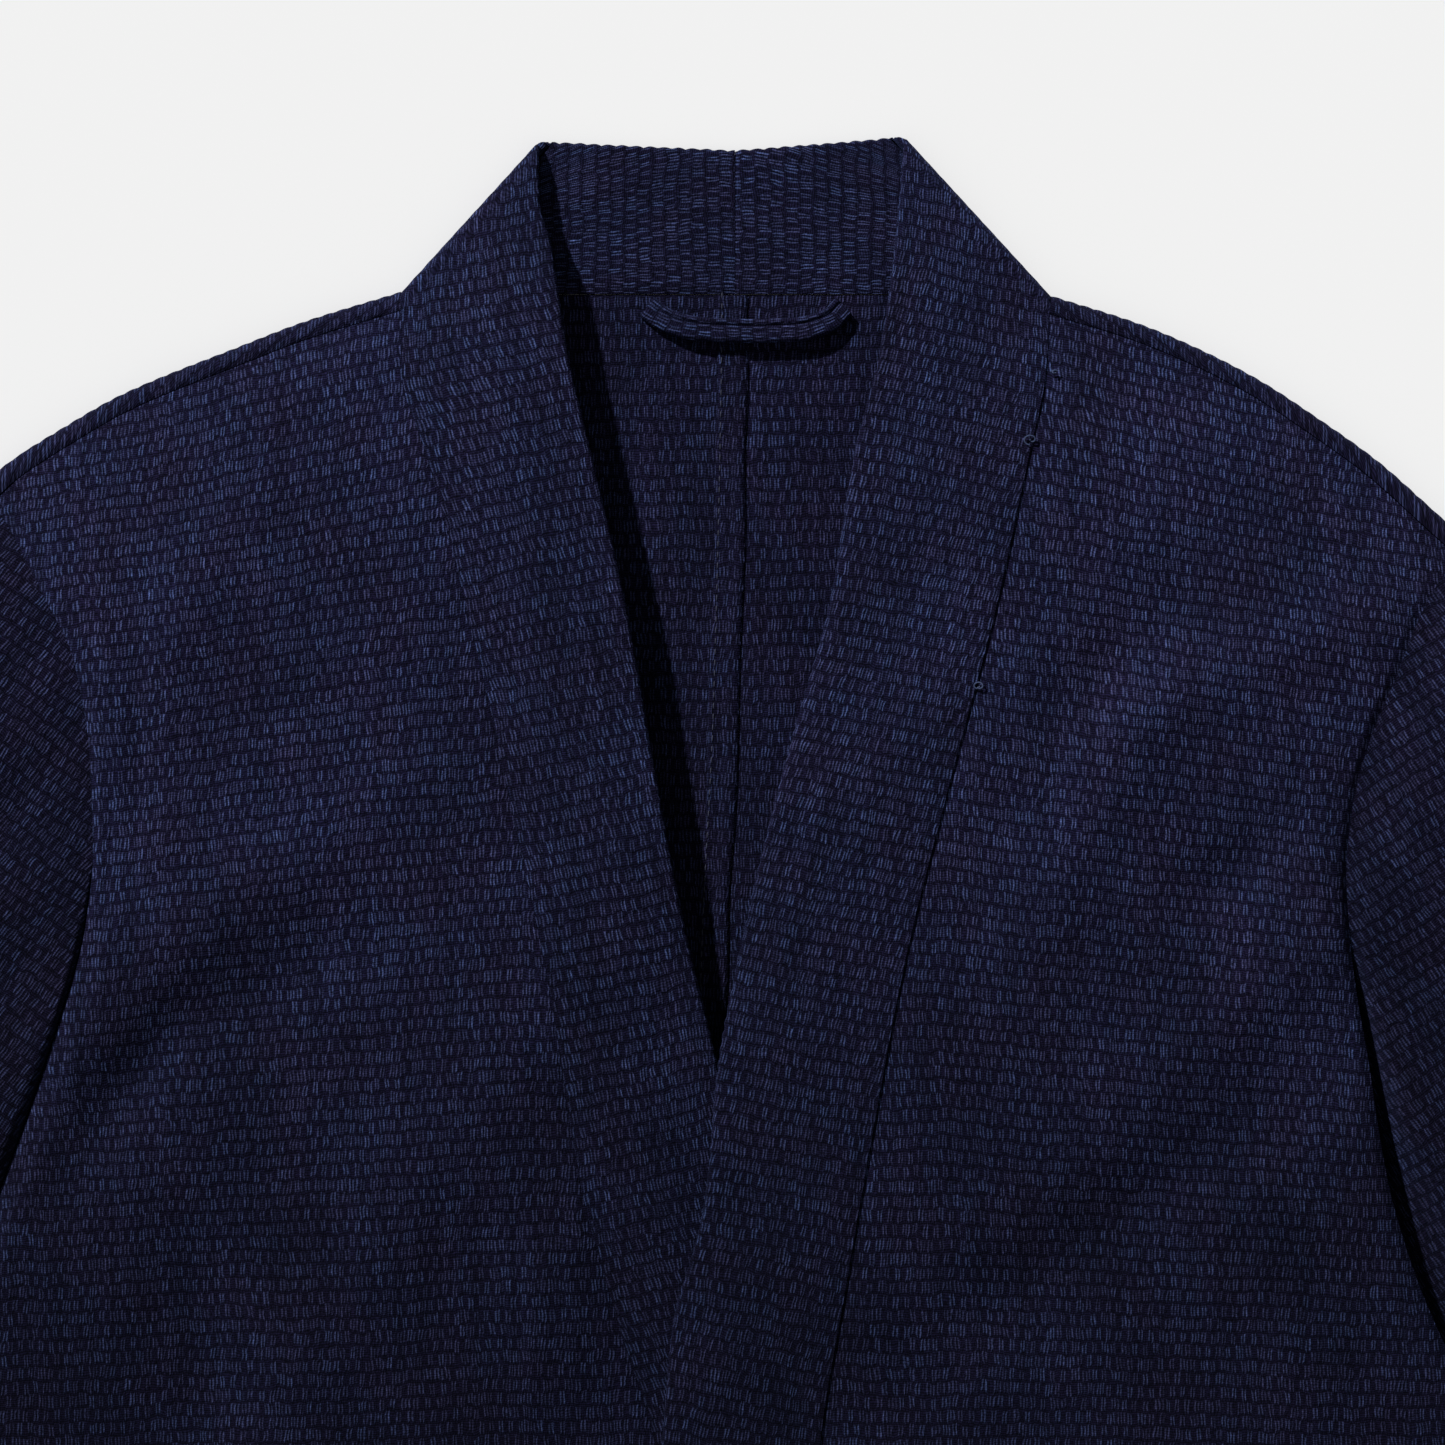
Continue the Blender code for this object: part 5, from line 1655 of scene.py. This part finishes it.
        flat = outer[..., :2] - tip
        cloth = np.stack([flat @ sideways / GRAIN, -(flat @ lengthways) / ROW], axis=-1).reshape(-1, 2)
        points, faces = tube_shell(outer, inner)
        label = half.side.label
        cloth = np.concatenate([cloth, cloth])
        piece = room.piece(f"sleeve_{label}_cloth", points, faces, cloth, "sleeve_cloth")
        return declare_cloth(piece, f"sleeve_{label}")

    @staticmethod
    def ring(plan: np.ndarray, tops: np.ndarray, bottoms: np.ndarray) -> np.ndarray:
        """Joins the tops, and the bottoms in reverse, into rings of points."""
        return np.concatenate([with_height(plan, tops), with_height(plan, bottoms)[:, -2:0:-1]], axis=1)


@dataclass
class Strip:
    """A narrow strip of folded cloth along a path, with soft edges."""

    name: str
    node: str
    finish: str
    width: float
    thickness: float
    profile: Tuple
    rests_on: Tuple[str, ...]
    columns: int = 18
    even_share: float = 0.55
    soft_reach: float = 0.28
    ripple: float = 0.12
    least_cut: float = 0.0105
    slack: Tuple[float, float] = (1.25, 1.02)

    def build(self, room: Workroom, path: np.ndarray, under: np.ndarray) -> bpy.types.Object:
        """Makes the strip.

        Args:
            room: the frame's facts.
            path: (count, 2) plan points of its middle.
            under: the heights of its underside.

        Returns:
            The piece.
        """
        ahead = np.gradient(path, axis=0)
        aside = unit(np.stack([-ahead[:, 1], ahead[:, 0]], axis=-1))
        spots = np.sin(np.linspace(-math.pi / 2, math.pi / 2, self.columns + 1))
        spots = mix(spots, np.linspace(-1.0, 1.0, self.columns + 1), self.even_share)
        soft = quarter_round(1 - np.abs(spots), self.soft_reach)
        top = self.thickness * curve(self.profile)(spots)
        places = path[:, None, :] + aside[:, None, :] * spots[None, :, None] * self.width / 2
        length = along(path)
        ripple = self.ripple * np.sin(2 * math.pi * length / ROW)[:, None] * np.ones_like(spots)[None, :]
        upper = with_height(places, under[:, None] + top[None, :] + ripple)
        lower = with_height(places, under[:, None] + self.ripple * (1 - soft)[None, :])
        loop = np.concatenate([upper, lower[:, ::-1]], axis=1)
        run = np.concatenate([spots, spots[::-1]]) * self.width / 2
        cloth = np.stack(np.broadcast_arrays(run[None, :] / GRAIN, length[:, None] / ROW), axis=-1)
        faces = strip_solid(loop)
        piece = room.piece(self.name, loop.reshape(-1, 3), faces, cloth.reshape(-1, 2), self.finish)
        return declare_cloth(piece, self.node)


@dataclass
class StitchRun:
    """A line of running stitches, laid along a path by Geometry Nodes."""

    tree: bpy.types.NodeTree
    pitch: float = 3.6
    length: float = 2.6
    thread: float = 0.5

    @staticmethod
    def make_tree(finish: bpy.types.Material) -> bpy.types.NodeTree:
        """Builds the tree that lays a stitch at each step of a curve.

        Args:
            finish: the thread's finish.

        Returns:
            The tree, with the inputs Pitch, Length and Thread, in metres.
        """
        tree = bpy.data.node_groups.new("running_stitches", "GeometryNodeTree")
        face = tree.interface
        face.new_socket("Geometry", in_out="INPUT", socket_type="NodeSocketGeometry")
        for name in ("Pitch", "Length", "Thread"):
            face.new_socket(name, in_out="INPUT", socket_type="NodeSocketFloat")
        face.new_socket("Geometry", in_out="OUTPUT", socket_type="NodeSocketGeometry")
        net = NodeNet(tree)
        given = net.node("NodeGroupInput")
        result = net.node("NodeGroupOutput")
        steps = net.node("GeometryNodeResampleCurve", mode="LENGTH")
        net.link(given.outputs["Geometry"], steps.inputs["Curve"])
        net.link(given.outputs["Pitch"], steps.inputs["Length"])
        ball = net.node("GeometryNodeMeshUVSphere")
        ball.inputs["Segments"].default_value = 6
        ball.inputs["Rings"].default_value = 5
        ball.inputs["Radius"].default_value = 0.5
        size = net.node("ShaderNodeCombineXYZ")
        net.link(given.outputs["Length"], size.inputs[0])
        net.link(given.outputs["Thread"], size.inputs[1])
        net.link(given.outputs["Thread"], size.inputs[2])
        tangent = net.node("GeometryNodeInputTangent")
        turn = net.node("FunctionNodeAlignRotationToVector", axis="X")
        net.link(tangent.outputs[0], turn.inputs["Vector"])
        lay = net.node("GeometryNodeInstanceOnPoints")
        net.link(steps.outputs[0], lay.inputs["Points"])
        net.link(ball.outputs[0], lay.inputs["Instance"])
        net.link(turn.outputs[0], lay.inputs["Rotation"])
        net.link(size.outputs[0], lay.inputs["Scale"])
        real = net.node("GeometryNodeRealizeInstances")
        net.link(lay.outputs[0], real.inputs[0])
        paint = net.node("GeometryNodeSetMaterial")
        paint.inputs["Material"].default_value = finish
        net.link(real.outputs[0], paint.inputs["Geometry"])
        net.link(paint.outputs[0], result.inputs[0])
        return tree

    def build(self, room: Workroom, name: str, path: np.ndarray) -> bpy.types.Object:
        """Lays the stitches.

        Args:
            room: the frame's facts.
            name: the piece's name.
            path: (count, 3) points that the thread follows.

        Returns:
            The piece.
        """
        placed = (path + np.array(room.shift)) * MM
        line = bpy.data.curves.new(f"{name}_path", "CURVE")
        line.dimensions = "3D"
        spline = line.splines.new("POLY")
        spline.points.add(len(placed) - 1)
        flat = np.concatenate([placed, np.ones((len(placed), 1))], axis=1)
        spline.points.foreach_set("co", flat.astype(np.float32).ravel())
        guide = add_object(f"{name}_path", line)
        layer = guide.modifiers.new("stitches", "NODES")
        layer.node_group = self.tree
        sizes = {"Pitch": self.pitch, "Length": self.length, "Thread": self.thread}
        for item in self.tree.interface.items_tree:
            if item.in_out == "INPUT" and item.name in sizes:
                layer[item.identifier] = sizes[item.name] * MM
        graph = bpy.context.evaluated_depsgraph_get()
        mesh = bpy.data.meshes.new_from_object(guide.evaluated_get(graph))
        mesh.name = name
        guide.modifiers.remove(layer)
        bpy.data.objects.remove(guide)
        mesh.shade_smooth()
        piece = add_object(name, mesh)
        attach(piece, "root")
        LOG.info("%s: %d faces", piece.name, len(mesh.polygons))
        return piece


@dataclass(frozen=True)
class ThreadTuft:
    """A short end of thread that curls out of a seam."""

    name: str
    side: Side
    place: Tuple[float, float]
    reach: float
    turn: float
    radius: float = 0.26
    steps: int = 44
    corners: int = 6
    curl: float = 8.5
    rise: float = 0.7

    def build(self, room: Workroom, plan: Plan) -> bpy.types.Object:
        """Makes the thread.

        Args:
            room: the frame's facts.
            plan: the half that it lies on.

        Returns:
            The piece.
        """
        t = np.linspace(0.0, 1.0, self.steps)
        angle = self.turn + self.curl * t
        reach = self.reach * (0.55 + 0.45 * np.cos(5.0 * t + self.turn))
        x = self.place[0] + reach * np.cos(angle)
        y = self.place[1] + reach * 0.8 * np.sin(angle)
        spot = np.array([[self.place[0], self.place[1]]])
        below = np.full(1, plan.neck[1] - self.place[1])
        level = float(plan.front_height(spot, below, np.full(1, BODY_LENGTH))[0]) + self.rise
        z = level + self.rise * np.sin(3.1 * t + self.turn) ** 2
        path = with_height(point(x, y), z)
        ahead = unit(np.gradient(path, axis=0))
        side = unit(np.cross(ahead, np.array([0.0, 0.0, 1.0])))
        up = np.cross(side, ahead)
        around = 2 * math.pi * np.arange(self.corners) / self.corners
        ring = side[:, None] * np.cos(around)[None, :, None] + up[:, None] * np.sin(around)[None, :, None]
        tube = path[:, None] + ring * self.radius
        cloth = np.zeros((self.steps * self.corners, 2))
        piece = room.piece(self.name, tube.reshape(-1, 3), strip_solid(tube), cloth, "loose_thread")
        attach(piece, "root")
        return piece


@dataclass(frozen=True)
class Studio:
    """The pale floor, the light from the upper left and the camera over the jacket."""

    floor_size: float = 30.0
    sun: float = 5.2
    sun_angle: float = 2.5
    sun_way: Tuple[float, float, float] = (0.533, -0.646, -0.545)
    fill: float = 0.2
    lens: float = 200.0
    sensor: float = 36.0
    cloth_level: float = 14.0
    floor_level: float = -0.0004

    def build(self, room: Workroom) -> None:
        """Makes the floor, the light and the camera.

        Args:
            room: the frame's facts.
        """
        half = self.floor_size / 2
        level = self.floor_level
        mesh = bpy.data.meshes.new("floor")
        corners = [(-half, -half, level), (half, -half, level), (half, half, level), (-half, half, level)]
        mesh.from_pydata(corners, [], [(0, 1, 2, 3)])
        mesh.materials.append(FloorFinish().build())
        floor = add_object("floor", mesh)
        floor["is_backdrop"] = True

        light = bpy.data.lights.new("window_sun", "SUN")
        light.energy = self.sun
        light.angle = math.radians(self.sun_angle)
        key = add_object("window_sun", light)
        key.rotation_mode = "QUATERNION"
        key.rotation_quaternion = Vector(self.sun_way).to_track_quat("-Z", "Y")

        world = bpy.data.worlds.new("soft_fill")
        world.use_nodes = True
        back = world.node_tree.nodes["Background"]
        back.inputs["Color"].default_value = (1.0, 1.0, 1.0, 1.0)
        back.inputs["Strength"].default_value = self.fill
        bpy.context.scene.world = world

        lens = bpy.data.cameras.new("photo_camera")
        lens.lens = self.lens
        lens.sensor_width = self.sensor
        camera = add_object("photo_camera", lens)
        frame_width = PHOTO_SIZE / PIXELS_PER_MM
        x = (PHOTO_SIZE / 2 - PHOTO_ZERO[0]) / PIXELS_PER_MM + room.shift[0]
        y = (PHOTO_ZERO[1] - PHOTO_SIZE / 2) / PIXELS_PER_MM + room.shift[1]
        z = self.cloth_level + frame_width * self.lens / self.sensor
        camera.location = (x * MM, y * MM, z * MM)
        lens.clip_start, lens.clip_end = 0.1, 20.0
        bpy.context.scene.camera = camera
        bpy.context.scene.view_settings.view_transform = "Standard"


FINISHES = (
    WeaveFinish("body_cloth", (0.0050, 0.0048, 0.0172), (0.0335, 0.0415, 0.104), (0.042, 0.068, 0.172)),
    WeaveFinish("inner_cloth", (0.0038, 0.0036, 0.0130), (0.023, 0.027, 0.070), (0.028, 0.045, 0.118)),
    WeaveFinish("band_cloth", (0.0046, 0.0046, 0.0160), (0.0305, 0.0385, 0.098), (0.039, 0.066, 0.168)),
    # The sleeves' cloth is a darker copy of the body's cloth: painted shade on the sleeves.
    WeaveFinish("sleeve_cloth", (0.0034, 0.0032, 0.0112), (0.021, 0.025, 0.063), (0.027, 0.042, 0.108)),
    ThreadFinish(),
    ThreadFinish("loose_thread", (0.020, 0.034, 0.088)),
)
LOOSE_THREADS = (
    ThreadTuft("seam_thread_upper", Side.RIGHT, (106.4, -27.0), 1.5, 0.6),
    ThreadTuft("seam_thread_middle", Side.RIGHT, (98.6, -49.6), 2.3, 2.2),
    ThreadTuft("seam_thread_lower", Side.RIGHT, (81.0, -131.5), 1.7, 4.0),
)
FELL = Strip(
    "back_seam_fell_cloth", "back_seam_fell", "inner_cloth", FELL_WIDTH, 0.95, FELL_PROFILE, ("back_left",)
)
LOOP = Strip(
    "hanger_loop_cloth",
    "hanger_loop",
    "band_cloth",
    LOOP_WIDTH,
    LOOP_CLOTH + 0.2,
    LOOP_PROFILE,
    ("back_left", "back_right"),
)


def main() -> None:
    """Builds the jacket's pieces in order."""
    logging.basicConfig(level=logging.INFO)
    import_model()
    cad_low, cad_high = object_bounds()
    band_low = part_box("collar_left")[0].x / MM
    neck_x = band_low - (LEFT.shoulder_rows[0].x + HALF_GAP)
    neck_y = cad_high.y / MM - COLLAR_TOP
    room = Workroom((neck_x, neck_y, 0.0), {finish.name: finish.build() for finish in FINISHES})
    Studio().build(room)

    stitches = StitchRun(StitchRun.make_tree(room.finishes["sewing_thread"]))
    for plan in (Plan(LEFT), Plan(RIGHT)):
        label = plan.half.side.label
        BackPanel(plan).build(room)
        front = FrontPanel(plan)
        front.build(room)
        CollarBand(plan).build(room)
        sleeve = Sleeve(plan)
        sleeve.build(room)
        stitches.build(room, f"front_{label}_hem_stitches", front.hem_path)
        stitches.build(room, f"sleeve_{label}_cuff_stitches", sleeve.hem_path)
        for thread in LOOSE_THREADS:
            if thread.side is plan.half.side:
                thread.build(room, plan)
        LOG.info("the %s half is made", label)

    y = np.linspace(-2 * SEAM_GAP, -BODY_LENGTH, 620)
    middle = point(CENTRE_SEAM(y) - (SEAM_GAP + FELL_WIDTH) / 2, y)
    middle[:, 0] += 0.35 * np.sin(y / 9.0 + 2.0 * np.sin(y / 41.0))
    FELL.build(room, middle, np.full_like(y, CLOTH + 0.05))

    fell_line = with_height(point(CENTRE_SEAM(y) - FELL_WIDTH + 1.2, y), CLOTH + 0.55)
    steps = np.linspace(0.0, len(LOOP_ROWS) - 1, 96)
    x, y, under = (curve(tuple(enumerate(column)))(steps) for column in zip(*LOOP_ROWS))
    LOOP.build(room, point(x, y), under)

    stitches.build(room, "back_fell_stitches", fell_line)


if __name__ == "__main__":
    main()
